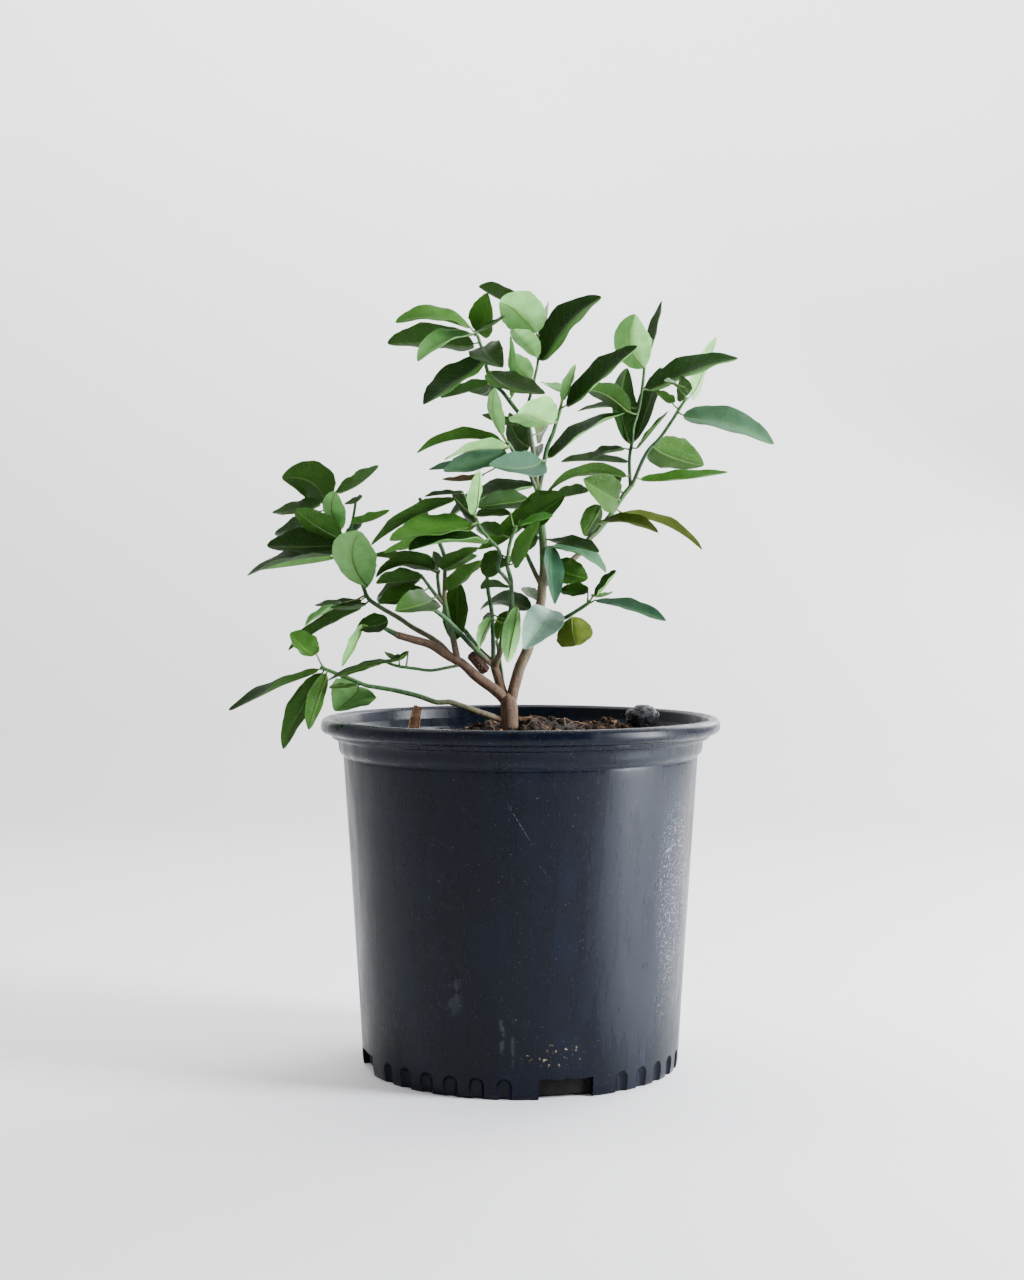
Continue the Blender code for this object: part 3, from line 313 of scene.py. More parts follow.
          (53.7, 372.4, 36), (61.2, 381.6, 40), (67.4, 390.7, 43), (72, 397.7, 45),
          (77.5, 404.5, 47)), 2.2, 1.8),
    ], [
        (68.5, 395.6, 43.9, 409.6, -45, 22.5, 70, 1, "m"),
        (68.5, 402, 58.6, 414, 20, 15.5, -50, 1.3, "m"),
        (55.8, 391, 44.6, 370, -15, 14, -60, 1.5, "m"),
        (54.6, 379.4, 96.5, 372.2, -40, 7.5, 25, 7.5, "o"),
        (71.3, 386, 127.5, 360, 10, 7, -15, 9, "y"),
    ]),
    "right_upper_shoot": shoot("right_shoot", 4, [
        (((77, 403, 46.6), (76.4, 423.7, 54), (78.3, 436.3, 58), (79.2, 446.4, 60),
          (82.3, 456.7, 62), (84.4, 467.3, 64), (86, 479.2, 66), (87, 491.8, 68)), 1.4, 1.2),
    ], [
        (74, 411.5, 17.2, 398.4, -25, 7.5, -25, 12.5, "m"),
        (75.5, 422, 28.4, 421.6, 30, 7, -10, 4.5, "d"),
        (72.7, 431, 48.8, 423.7, -10, 6.5, 15, 4, "d"),
        (81.1, 431, 103.6, 457, -20, 3.5, 5, 1.5, "m"),
        (77.3, 434, 75, 487, 25, 17, 60, -3, "d"),
        (79.7, 436, 98, 487.6, 35, 12.5, 50, 2, "d"),
        (86.7, 487.5, 80.5, 524.5, -15, 26, -75, -5, "p"),
        (87.4, 492.5, 98.7, 534, 25, 7, 25, 2, "d"),
        (76, 456.5, 44.3, 472, -45, 14, -50, 7, "d"),
        (70.3, 461, 39.7, 457, -10, 4, 10, 3, "d"),
        (88.1, 472, 152.1, 494, 15, 14, 30, 8.5, "t"),
    ]),
    "right_outer_shoot": shoot("right_shoot", 4, [
        (((78, 404.4, 46.8), (85.3, 422, 40), (90.6, 430.9, 38), (97.8, 438.2, 35),
          (107.1, 451.8, 31), (112, 459.8, 29), (116.2, 466, 28)), 1.5, 1.2),
    ], [
        (84, 409.5, 145.4, 414.6, 15, 7.5, 20, 1.5, "l"),
        (93, 433, 128.5, 419, 35, 24, -60, 1, "m"),
        (114.1, 454, 177.4, 434, -20, 15.5, 45, 8.5, "f"),
        (119.1, 468, 137.3, 508.7, 78, 11, -40, 2, "p"),
        (116, 467.5, 112, 481.7, 30, 12, -60, 0, "m"),
        (115, 469, 100.8, 478, -25, 3, 0, 3, "m"),
        (105.7, 463, 95.2, 471.5, -10, 7, -20, 2, "m"),
    ]),
}


def seen(x, z, depth):
    share = 1 + depth * mm / eye["distance"]  # what the eye sees at x, z on the plane of the pot's axis
    return Vector((x * mm * share, depth * mm, eye["height"] + (z * mm - eye["height"]) * share))


def splitSpur(data):
    # Cuts the woody spur off the first stem, which then starts a little past the spur's end
    (points, first, last), *rest = data["stems"]
    start, bend = Vector(points[0]), Vector(points[1])
    ahead = (bend - start).normalized()
    end = start + ahead * data["spur"]
    spur = ((tuple(start), tuple(end)), first, first)
    return spur, [((tuple(end + ahead * bladeRule["spurGap"]), *points[1:]), first, last), *rest]


def stemRoot(stems, x, z):
    # The place on the stems that is seen nearest to x, z
    best, place = None, None
    for points, first, last in stems:
        for start, end in zip(points, points[1:]):
            a, b = Vector(start), Vector(end)
            run = b.xy - a.xy
            short = min(bladeRule["rootShare"], bladeRule["rootSink"] / run.length)
            share = (Vector((x, z)) - a.xy).dot(run) / run.length_squared
            here = a.lerp(b, min(1 - short, max(short, share)))
            away = (here.xy - Vector((x, z))).length
            if best is None or away < best:
                best, place = away, here
    return place


def seenSpan(roll, fold):
    sides = (0, math.sin(fold + roll), math.sin(fold - roll))
    return min(sides), max(sides)


def halfAndRoll(width, roll, fold):
    # The half width that shows this width at this roll. Where it would be too broad, the roll grows
    def share():
        low, high = seenSpan(roll, fold)
        return high - low
    while abs(roll) < math.radians(bladeRule["mostRoll"]) and share() * bladeRule["mostHalf"] * mm < width:
        roll += math.copysign(math.radians(bladeRule["rollStep"]), roll or 1)
    return min(bladeRule["mostHalf"] * mm, width / share()), roll


def leafCourse(leaf, stems, shift):
    x0, z0, x1, z1, depth, width, rolls, arch, tone = leaf
    root = stemRoot(stems, x0, z0)
    rolls = rolls if isinstance(rolls, tuple) else (rolls, rolls)
    depth += shift
    course = {"foot": seen(*root), "start": seen(x0, z0, root.z + bladeRule["startDepth"] * depth),
              "tip": seen(x1, z1, root.z + depth), "arch": arch * mm, "tone": tone}
    course["chord"] = course["tip"] - course["start"]
    ahead = course["chord"].normalized()
    toEye = Vector((0, -eye["distance"], eye["height"])) - course["start"]
    side = ahead.cross(toEye).normalized()
    course["side"] = -side if side.z < 0 else side
    view = course["side"].cross(ahead).normalized()
    course["view"] = -view if view.dot(toEye) < 0 else view
    fold = math.radians(bladeRule["fold"])
    width = bladeRule["broader"] * width * mm
    course["half"], course["firstRoll"] = halfAndRoll(width, math.radians(rolls[0]), fold)
    course["turn"] = math.radians(rolls[1] - rolls[0])
    return course


def bladeAt(course, t):
    # The rib's place, its direction, the blade's normal and its half width at this share of the way
    fold = math.radians(bladeRule["fold"])
    roll = course["firstRoll"] + course["turn"] * t
    up = course["side"] * math.cos(roll) + course["view"] * math.sin(roll)
    curl = math.sin(roll) * bladeRule["curl"] * course["chord"].length
    lift = course["side"] * course["arch"] + course["view"] * curl
    bulge = 4 * t * (1 - t)
    along = (course["chord"] + lift * 4 * (1 - 2 * t)).normalized()
    normal = (up - along * up.dot(along)).normalized()
    reach = course["half"] * bulge ** bladeRule["rounded"] * (1 - bladeRule["pointed"] * t ** 3)
    place = course["start"] + course["chord"] * t + lift * bulge
    place = place - course["side"] * reach * sum(seenSpan(roll, fold)) / 2
    return place, along, normal, reach


def findShift(leaf, stems, tree):
    # The CAD model slid some tips along the line of sight to clear other leaves: its points tell how far
    best, chosen = None, 0
    fold = math.radians(bladeRule["fold"])
    for shift in sorted(range(-bladeRule["mostShift"], bladeRule["mostShift"] + 1, bladeRule["shiftStep"]),
                        key=abs):
        course = leafCourse(leaf, stems, shift)
        points = [course["tip"]]
        for t in bladeRule["stations"]:
            place, along, normal, reach = bladeAt(course, t)
            across = along.cross(normal).normalized() * reach * math.cos(fold)
            raised = place + normal * (reach * math.sin(fold) + bladeRule["cadThick"] * mm / 2)
            points += [raised - across, raised + across]
        miss = sum(min(tree.find(point)[2], bladeRule["farMiss"] * mm) for point in points)
        if best is None or miss < best - bladeRule["tie"] * mm:
            best, chosen = miss, shift
    return chosen, best / mm


def smoothPath(points, gap):
    # Points of a smooth curve through the given ones
    ends = [points[0] * 2 - points[1], *points, points[-1] * 2 - points[-2]]
    path = []
    for a, b, c, d in zip(ends, ends[1:], ends[2:], ends[3:]):
        steps = max(1, round((c - b).length / gap))
        for i in range(steps):
            t = i / steps
            path.append(0.5 * (2 * b + (c - a) * t + (2 * a - 5 * b + 4 * c - d) * t ** 2
                               + (3 * b - a - 3 * c + d) * t ** 3))
    path.append(points[-1])
    return path


def ringEdges(grown, ring):
    return [e for e in grown if isinstance(e, bmesh.types.BMEdge) and all(v in ring for v in e.verts)]


def waysAlong(path):
    # How far along the path each of its points lies
    ways = [0]
    for a, b in zip(path, path[1:]):
        ways.append(ways[-1] + (b - a).length)
    return ways


def growTube(bm, path, radii, sides, wood, tint):
    # Extrudes a circle along the path. The "place" layer takes the way from its start in cm, and the wood
    place = bm.verts.layers.float_vector["place"]
    color = bm.verts.layers.float_vector["color"]
    turn = Vector((0, 0, 1)).rotation_difference(path[1] - path[0])
    matrix = Matrix.Translation(path[0]) @ turn.to_matrix().to_4x4()
    ring = bmesh.ops.create_circle(bm, segments=sides, radius=radii[0], matrix=matrix)["verts"]
    edges = list({edge for vert in ring for edge in vert.link_edges})
    faces, first, before, ways = [], edges, path[1] - path[0], waysAlong(path)
    for i, spot in enumerate(path):
        if i:
            ahead = path[min(i + 1, len(path) - 1)] - path[i - 1]
            bend = before.rotation_difference(ahead).to_matrix().to_4x4()
            scale = Matrix.Scale(radii[i] / radii[i - 1], 4)
            step = Matrix.Translation(spot) @ bend @ scale @ Matrix.Translation(-path[i - 1])
            grown = bmesh.ops.extrude_edge_only(bm, edges=edges)["geom"]
            ring = [item for item in grown if isinstance(item, bmesh.types.BMVert)]
            faces += [item for item in grown if isinstance(item, bmesh.types.BMFace)]
            edges = ringEdges(grown, ring)
            bmesh.ops.transform(bm, matrix=step, verts=ring)
            before = ahead
        for vert in ring:
            vert[place] = (ways[i] / (10 * mm), 0, wood)
            vert[color] = tint(ways[i] / ways[-1], vert.co)
    for loop in (first, edges):
        faces += bmesh.ops.edgeloop_fill(bm, edges=loop)["faces"]
    bmesh.ops.recalc_face_normals(bm, faces=faces)
    return faces


def blankPlant():
    bm = bmesh.new()
    bm.verts.layers.float_vector.new("place")
    bm.verts.layers.float_vector.new("color")
    return bm


creaseAngle = 40


def finishPiece(bm, name, materials, nodes, sharpAngle=creaseAngle):
    # Copies the working layers to a UV map and a colour attribute, and makes the piece's object
    layers = bm.verts.layers.float_vector
    if "place" in layers:
        place, color = layers["place"], layers["color"]
        uv = bm.loops.layers.uv.new("along")
        tint = bm.loops.layers.float_color.new("tint")
        for face in bm.faces:
            for loop in face.loops:
                loop[uv].uv = loop.vert[place].xy
                loop[tint] = (*loop.vert[color], loop.vert[place].z)
        layers.remove(layers["place"])
        layers.remove(layers["color"])
    mesh = bpy.data.meshes.new(name)
    bm.to_mesh(mesh)
    bm.free()
    for material in materials:
        mesh.materials.append(material)
    mesh.shade_smooth()
    mesh.set_sharp_from_angle(angle=math.radians(sharpAngle))
    piece = bpy.data.objects.new(name, mesh)
    bpy.context.scene.collection.objects.link(piece)
    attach(piece, "root")
    if nodes:
        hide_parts(*nodes)
    return piece


leafMake = {"along": 18, "across": 8, "crowded": 0.05, "thick": 0.4, "soft": 0.5, "wave": 0.06,
            "waves": 2.6, "uneven": 2, "edge": 0.025, "teeth": 60, "least": 0.35, "droop": 0.12,
            "ends": 0.005, "faceEnds": 0.01,
            "darkest": 0.85, "shades": 0.3, "paleTip": 0.35, "tipFrom": 0.8}


def bladePoint(course, u, v, phase):
    # u runs from the base to the tip, v from the left margin to the right one
    ends = leafMake["ends"]
    place, along, normal, reach = bladeAt(course, min(1 - ends, max(ends, u)))
    fold = math.radians(bladeRule["fold"])
    across = along.cross(normal).normalized()
    ripple = leafMake["edge"] * math.sin(u * leafMake["teeth"] + phase)
    reach = max(leafMake["least"] * mm, reach * (1 + ripple))
    soft = leafMake["soft"]
    rise = (math.sqrt(v * v + soft * soft) - soft) / (math.sqrt(1 + soft * soft) - soft)
    rise -= leafMake["droop"] * v ** 4 / math.sin(fold)  # the margins turn down a little
    swing = leafMake["waves"] * math.tau * u + phase + (v > 0) * leafMake["uneven"]
    lift = reach * (math.sin(fold) * rise + leafMake["wave"] * math.sin(swing) * v * v)
    return place + across * v * reach * math.cos(fold) + normal * lift


def leafColor(course, u, v, top, shade):
    upper, lower = (Vector(color) for color in tones[course["tone"]])
    if not top:
        color = lower
    # The pale half of a two-tone leaf is painted backlight, in the underside's colour
    elif course["tone"] == "t" and v * course["palerSide"] > 0:
        color = lower
    else:
        color = upper
    young = 1 + leafMake["paleTip"] * max(0, u - leafMake["tipFrom"])
    return color * shade * young


def growLeaf(bm, leaf, stems, shift, seed, leafMaterial, stemMaterial):
    place = bm.verts.layers.float_vector["place"]
    color = bm.verts.layers.float_vector["color"]
    course = leafCourse(leaf, stems, shift)
    draw = random.Random(seed)
    phase, shade = draw.uniform(0, math.tau), draw.random()
    # On a leaf of two tones, the lower half is painted pale, as if lit from behind: painted backlight
    middle = bladeAt(course, 0.5)
    course["palerSide"] = 1 if middle[1].cross(middle[2]).z < 0 else -1
    grid = bmesh.ops.create_grid(bm, x_segments=leafMake["along"], y_segments=leafMake["across"], size=0.5)
    blade = list({face for vert in grid["verts"] for face in vert.link_faces})
    for vert in grid["verts"]:
        u, v = vert.co.x + 0.5, -vert.co.y * 2
        u -= leafMake["crowded"] * math.sin(u * math.tau)  # more rows near the base and the tip
        vert[place] = (u, v, 0)
        vert.co = bladePoint(course, u, v, phase)
    made = bmesh.ops.solidify(bm, geom=blade, thickness=leafMake["thick"] * mm)["geom"]
    blade = list({*blade, *(item for item in made if isinstance(item, bmesh.types.BMFace))})
    light = leafMake["darkest"] + leafMake["shades"] * shade
    bmesh.ops.recalc_face_normals(bm, faces=blade)
    ends = leafMake["faceEnds"]
    for face in blade:
        face.material_index = leafMaterial
        u = sum(vert[place].x for vert in face.verts) / len(face.verts)
        top = face.normal.dot(bladeAt(course, min(1 - ends, max(ends, u)))[2]) > 0
        for vert in face.verts:
            vert[color] = leafColor(course, vert[place].x, vert[place].y, top, light)
            vert[place] = (vert[place].x, vert[place].y, 1 if top else 0)
    growPetiole(bm, course, stemMaterial, shade)


stalkMake = {"thick": 0.95, "thin": 0.6, "end": 0.16, "sides": 6, "gap": 5, "under": 0.35, "sag": 0.06,
             "ribAt": (0.03, 0.2, 0.4, 0.6, 0.8, 0.93), "taper": 1.5, "shortest": 1,
             "darkest": 0.8, "shades": 0.4, "paleTones": "ptyl",
             "pale": (0.13, 0.2, 0.05), "dark": (0.07, 0.13, 0.03)}


def growPetiole(bm, course, material, shade):
    # The stalk, which goes on under the blade as its rib
    thick, thin, end = (stalkMake[name] * mm for name in ("thick", "thin", "end"))
    foot, start = course["foot"], course["start"]
    under = [bladeAt(course, t)[:3:2] for t in stalkMake["ribAt"]]
    rib = [place - normal * stalkMake["under"] * mm for place, normal in under]
    sag = Vector((0, 0, -stalkMake["sag"] * (start - foot).length))
    path = smoothPath([foot, (foot + start) / 2 + sag, start, *rib], stalkMake["gap"] * mm)
    lengths = waysAlong(path)
    stalk = max((start - foot).length, stalkMake["shortest"] * mm)
    radii = []
    for length in lengths:
        if length < stalk:
            radii.append(thick + (thin - thick) * min(1, length / stalk * stalkMake["taper"]))
        else:
            radii.append(thin + (end - thin) * min(1, (length - stalk) / (lengths[-1] - stalk)))
    green = Vector(stalkMake["pale" if course["tone"] in stalkMake["paleTones"] else "dark"])
    green *= stalkMake["darkest"] + stalkMake["shades"] * shade
    faces = growTube(bm, path, radii, stalkMake["sides"], 0, lambda share, spot: green)
    for face in faces:
        face.material_index = material


stemMake = {"gap": 4, "sides": 10, "sunk": 1.5, "swell": 0.07, "swells": 160, "cap": 0.7, "capRadius": 0.45,
            "mottle": 0.25, "mottles": 90, "turning": 2.5,
            "bark": (0.12, 0.075, 0.05), "barkGreen": (0.1, 0.095, 0.05),
            "green": (0.02, 0.052, 0.025), "young": (0.045, 0.12, 0.03)}


def stemTint(woody):
    # From bark at the foot to green at the end; woody says how far the bark reaches
    def tint(share, spot):
        bark = Vector(stemMake["barkGreen"]).lerp(Vector(stemMake["bark"]), min(1, max(0, woody)))
        green = Vector(stemMake["green"]).lerp(Vector(stemMake["young"]), share)
        mottle = stemMake["mottle"] * noise.noise(spot * stemMake["mottles"])
        turn = min(1, max(0, (share - woody) * stemMake["turning"] + 0.5 + mottle))
        return bark.lerp(green, turn)
    return tint


def growStem(bm, stem, woody, material, sunk=0):
    points, first, last = stem
    places = [seen(*point) for point in points]
    if sunk:
        places[0] = places[0] - (places[1] - places[0]).normalized() * sunk * mm
    path = smoothPath(places, stemMake["gap"] * mm)
    lengths = waysAlong(path)
    radii = []
    for spot, length in zip(path, lengths):
        swell = 1 + stemMake["swell"] * noise.noise(spot * stemMake["swells"])
        radii.append((first + (last - first) * length / lengths[-1]) * mm * swell)
    path.append(path[-1] + (path[-1] - path[-2]).normalized() * last * stemMake["cap"] * mm)
    radii.append(radii[-1] * stemMake["capRadius"])
    faces = growTube(bm, path, radii, stemMake["sides"], woody, stemTint(woody))
    for face in faces:
        face.material_index = material


# How far the bark reaches along each shoot that has some, as a share of its length
allBark = 2  # above 1, so that no green shows at the end
woodiness = {"trunk": allBark, "centre_shoot": 0.6, "inner_left_shoot": 0.3, "right_shoot": 0.45,
             "low_shoot": 0.3, "crown_left_shoot": 0.2, "left_shoot": 0.25, "middle_shoot": 0.2}


def buildPlant(materials):
    stems, spurs = {}, {}
    for name, data in shoots.items():
        spur, stems[name] = splitSpur(data)
        spurs.setdefault(data["parent"], []).append((spur, allBark if name in woodiness else 0.5))
    for number, (name, data) in enumerate(shoots.items()):
        vertices = frame["nodes"][name].data.vertices
        tree = kdtree.KDTree(len(vertices))
        for i, vertex in enumerate(vertices):
            tree.insert(vertex.co, i)
        tree.balance()
        bm = blankPlant()
        for stem in stems[name]:
            growStem(bm, stem, woodiness.get(name, 0), 1, stemMake["sunk"])
        for spur, woody in spurs.get(name, []):
            growStem(bm, spur, min(woody, woodiness.get(name, 0)), 1)
        worst = 0
        for i, leaf in enumerate(data["leaves"]):
            shift, miss = findShift(leaf, stems[name], tree)
            worst = max(worst, miss)
            growLeaf(bm, leaf, stems[name], shift, number * 100 + i, 0, 1)
        finishPiece(bm, name + "_fine", [materials["leaf"], materials["stem"]], [name])
        print("Shoot", name, "with", len(data["leaves"]), "leaves, worst fit", round(worst, 2), "mm")
    bm = blankPlant()
    for stem in wood[:-1]:
        growStem(bm, stem, allBark, 0)
    for spur, woody in spurs["trunk"]:
        growStem(bm, spur, woody, 0)
    growStub(bm, wood[-1])
    finishPiece(bm, "trunk_fine", [materials["stem"]], ["trunk"])


stubMake = {"steps": 8, "sides": 20, "ridges": 7, "depth": 0.16, "stains": 400, "stain": 0.6,
            "color": (0.035, 0.016, 0.01)}


def growStub(bm, stem):
    # The dead stub: a short thick tube with ridges along it
    points, radius = stem[:2]
    start, end = (seen(*point) for point in points)
    path = [start.lerp(end, i / stubMake["steps"]) for i in range(stubMake["steps"] + 1)]

    def tint(share, spot):
        return Vector(stubMake["color"]) * (1 + stubMake["stain"] * noise.noise(spot * stubMake["stains"]))

    faces = growTube(bm, path, [radius * mm] * len(path), stubMake["sides"], allBark, tint)
    axis = (end - start).normalized()
    right = axis.orthogonal().normalized()
    for vert in {vert for face in faces for vert in face.verts}:
        away = vert.co - start - axis * (vert.co - start).dot(axis)
        if away.length > 0.1 * mm:
            angle = math.atan2(away.dot(axis.cross(right)), away.dot(right))
            vert.co -= away * stubMake["depth"] * (0.5 + 0.5 * math.sin(stubMake["ridges"] * angle))


def startMaterial(name, roughness, specular):
    material = bpy.data.materials.new(name)
    material.use_nodes = True
    shader = material.node_tree.nodes["Principled BSDF"]
    shader.inputs["Roughness"].default_value = roughness
    shader.inputs["Specular IOR Level"].default_value = specular
    return material, material.node_tree, shader


def plug(tree, socket, value):
    if isinstance(value, bpy.types.NodeSocket):
        tree.links.new(value, socket)
    elif hasattr(socket.default_value, "__len__") and len(socket.default_value) == 4 and len(value) == 3:
        socket.default_value = (*value, 1)
    else:
        socket.default_value = value


def addNode(tree, kind, settings=None, **links):
    # A node with its settings; links gives values or sockets for its inputs by name
    node = tree.nodes.new(kind)
    for name, value in (settings or {}).items():
        setattr(node, name, value)
    for name, value in links.items():
        plug(tree, node.inputs[name.replace("_", " ")], value)
    return node


def objectPlace(tree):
    return addNode(tree, "ShaderNodeTexCoord").outputs["Object"]


def tintOf(tree):
    return addNode(tree, "ShaderNodeAttribute", {"attribute_name": "tint"}).outputs


def mapped(tree, place, scale, turn=(0, 0, 0), location=(0, 0, 0), kind="POINT"):
    return addNode(tree, "ShaderNodeMapping", {"vector_type": kind}, Vector=place, Location=location,
                   Rotation=turn, Scale=scale).outputs["Vector"]


def noiseOf(tree, place, scale, detail=3, rough=0.55):
    return addNode(tree, "ShaderNodeTexNoise", Vector=place, Scale=scale, Detail=detail,
                   Roughness=rough).outputs["Fac"]


def spread(tree, value, low, high, first=0.0, last=1.0):
    return addNode(tree, "ShaderNodeMapRange", Value=value, From_Min=low, From_Max=high, To_Min=first,
                   To_Max=last).outputs["Result"]


def sums(tree, how, first, second=0.0):
    node = addNode(tree, "ShaderNodeMath", {"operation": how})
    plug(tree, node.inputs[0], first)
    plug(tree, node.inputs[1], second)
    return node.outputs[0]


def weighed(tree, values, weights):
    # The sum of the values, each times its weight
    total, *others = (sums(tree, "MULTIPLY", value, weight) for value, weight in zip(values, weights))
    for other in others:
        total = sums(tree, "ADD", total, other)
    return total


def mixColor(tree, share, first, second, how="MIX"):
    node = addNode(tree, "ShaderNodeMix", {"data_type": "RGBA", "blend_type": how})
    for number, value in ((0, share), (6, first), (7, second)):  # 6 and 7 are its two colour inputs
        plug(tree, node.inputs[number], value)
    return node.outputs[2]


def shaded(tree, color, shade):
    # A colour times a grey shade
    grey = addNode(tree, "ShaderNodeCombineXYZ", X=shade, Y=shade, Z=shade).outputs[0]
    return mixColor(tree, 1.0, color, grey, "MULTIPLY")


def bumpOf(tree, height, strength, distance):
    return addNode(tree, "ShaderNodeBump", Height=height, Strength=strength,
                   Distance=distance).outputs["Normal"]


noiseSpan = (0.3, 0.7)  # where most of a noise's values lie
leafLook = {"roughness": 0.35, "specular": 0.13, "veins": 11.0, "slant": 2.2, "veinWidth": 0.07,
            "veinShare": 0.16, "rib": (0.02, 0.06), "ribShare": 0.5, "veinColor": (0.14, 0.3, 0.05),
            "mottle": 140, "mottleShade": (0.82, 1.18), "mottleRough": (-0.05, 0.07), "fine": 900,
            "dust": 1100, "dustFrom": (0.62, 0.7), "dustShare": 0.22, "dustColor": (0.4, 0.5, 0.38),
            "gloss": (0.65, 0.46), "relief": (-0.7, 0.25, 0.5), "bump": (0.5, 0.0006),
            "through": 0.2, "throughMix": 0.5, "throughColor": (0.3, 0.5, 0.06)}


def leafMaterial():
    look = leafLook
    material, tree, shader = startMaterial("lemon leaf", look["roughness"], look["specular"])
    tint, place = tintOf(tree), objectPlace(tree)
    uv = addNode(tree, "ShaderNodeUVMap", {"uv_map": "along"}).outputs["UV"]
    parts = addNode(tree, "ShaderNodeSeparateXYZ", Vector=uv).outputs
    across = sums(tree, "ABSOLUTE", parts["Y"])
    slant = sums(tree, "SUBTRACT", sums(tree, "MULTIPLY", parts["X"], look["veins"]),
                 sums(tree, "MULTIPLY", across, look["slant"]))
    veins = spread(tree, sums(tree, "PINGPONG", slant, 0.5), 0.0, look["veinWidth"], 1.0, 0.0)
    rib = spread(tree, across, *look["rib"], 1.0, 0.0)
    lines = sums(tree, "MAXIMUM", sums(tree, "MULTIPLY", veins, look["veinShare"]),
                 sums(tree, "MULTIPLY", rib, look["ribShare"]))
    mottle = noiseOf(tree, place, look["mottle"], 4)
    fine = noiseOf(tree, place, look["fine"], 2)
    base = shaded(tree, tint["Color"], spread(tree, mottle, *noiseSpan, *look["mottleShade"]))
    veined = mixColor(tree, lines, base, look["veinColor"])
    dust = spread(tree, noiseOf(tree, place, look["dust"], 2), *look["dustFrom"])
    veined = mixColor(tree, sums(tree, "MULTIPLY", dust, look["dustShare"]), veined, look["dustColor"])
    plug(tree, shader.inputs["Base Color"], veined)
    gloss = spread(tree, tint["Alpha"], 0.0, 1.0, *look["gloss"])
    rough = spread(tree, mottle, *noiseSpan, *look["mottleRough"])
    plug(tree, shader.inputs["Roughness"], sums(tree, "ADD", gloss, rough))
    relief = weighed(tree, (lines, fine, mottle), look["relief"])
    plug(tree, shader.inputs["Normal"], bumpOf(tree, relief, *look["bump"]))
    glow = mixColor(tree, look["throughMix"], veined, look["throughColor"])
    through = addNode(tree, "ShaderNodeBsdfTranslucent", Color=glow)
    both = addNode(tree, "ShaderNodeMixShader")
    for socket, value in zip(both.inputs, (look["through"], shader.outputs["BSDF"], through.outputs["BSDF"])):
        plug(tree, socket, value)
    plug(tree, tree.nodes["Material Output"].inputs["Surface"], both.outputs["Shader"])
    return material


stemLook = {"roughness": 0.5, "specular": 0.2, "streaks": (420, 420, 110), "streakShade": (0.65, 1.35),
            "spots": 700, "spotFrom": (0.66, 0.74), "spotShare": 0.5, "spotColor": (0.3, 0.27, 0.2),
            "woodFull": 1.5, "wood": (0.42, 0.85), "bump": (0.6, 0.0008)}


def stemMaterial():
    look = stemLook
    material, tree, shader = startMaterial("lemon stem", look["roughness"], look["specular"])
    tint, place = tintOf(tree), objectPlace(tree)
    streaks = noiseOf(tree, mapped(tree, place, look["streaks"]), 1.0, 4, 0.6)
    color = shaded(tree, tint["Color"], spread(tree, streaks, *noiseSpan, *look["streakShade"]))
    spots = spread(tree, noiseOf(tree, place, look["spots"], 1), *look["spotFrom"])
    color = mixColor(tree, sums(tree, "MULTIPLY", spots, look["spotShare"]), color, look["spotColor"])
    plug(tree, shader.inputs["Base Color"], color)
    woody = spread(tree, tint["Alpha"], 0.0, look["woodFull"])
    plug(tree, shader.inputs["Roughness"], spread(tree, woody, 0.0, 1.0, *look["wood"]))
    plug(tree, shader.inputs["Normal"], bumpOf(tree, streaks, *look["bump"]))
    return material


# Wear on the pot, and a painted sheen on the side towards the window: centre and half size in mm, turn about
# Y in degrees, noise scale and threshold, strength
potMarks = {
    "scratch": ((-1, -121, 182.6), (18, 6, 0.4), 58.6, 500, 0.4, 0.22),
    "scratchFine": ((16, -119, 150), (9, 6, 0.25), 50, 500, 0.5, 0.18),
    "curl": ((98.5, -67.6, 157.7), (4.5, 6, 0.8), -30, 200, 0.2, 0.7),
    "curlTail": ((102, -63, 160.5), (3, 6, 0.5), 20, 200, 0.2, 0.5),
    "crust": ((104, -52, 128), (20, 44, 84), 0, 620, 0.55, 0.7),
    "crustLow": ((98, -54, 60), (16, 30, 36), 0, 540, 0.6, 0.45),
    # A broad lighter patch over the right front, where the window's light falls: painted sheen
    "hazeAndSheen": ((86, -84, 130), (50, 60, 150), 0, 34, 0.0, 0.07),
    "scuff": ((-46, -106, 66), (11, 10, 18), 20, 90, 0.5, 0.06),
    "streak": ((-12, -114, 45), (2.2, 9, 26), 0, 120, 0.45, 0.1),
    "streakSide": ((-5, -114, 38), (1.4, 9, 20), 0, 120, 0.45, 0.08),
    "specks": ((24, -110, 29), (30, 12, 9), 0, 420, 0.62, 0.8),
    "smear": ((66, -107, 232), (12, 16, 3), 8, 260, 0.5, 0.14),
    "dustRim": ((-80, -90, 236), (40, 40, 5), 0, 300, 0.56, 0.08),
}
potLook = {"dark": (0.001, 0.002, 0.006), "worn": (0.003, 0.006, 0.016), "mark": (0.2, 0.22, 0.26),
           "earth": (0.32, 0.26, 0.15), "roughness": 0.27, "specular": 0.14, "cloud": 16,
           "drawn": (75, 75, 14), "grain": 1300, "hazeCloud": (0.35, 0.7), "hazeDrawn": (0.4, 0.7),
           "hazeRough": 0.12, "drawnRough": (-0.07, 0.1), "dust": 900, "dustFrom": (0.72, 0.78),
           "dustShare": 0.25, "markSoft": 0.5, "gritSoft": 0.08, "relief": (0.25, 0.3, 0.8),
           "bump": (0.35, 0.0007)}


def patch(tree, place, centre, size, turn):
    # 1 inside an ellipsoid of these half sizes in mm, fading to 0 at its surface
    spot = mapped(tree, place, [s * mm for s in size], (0, math.radians(turn), 0), [c * mm for c in centre],
                  "TEXTURE")
    length = addNode(tree, "ShaderNodeVectorMath", {"operation": "LENGTH"}, Vector=spot).outputs["Value"]
    return spread(tree, length, potLook["markSoft"], 1.0, 1.0, 0.0)


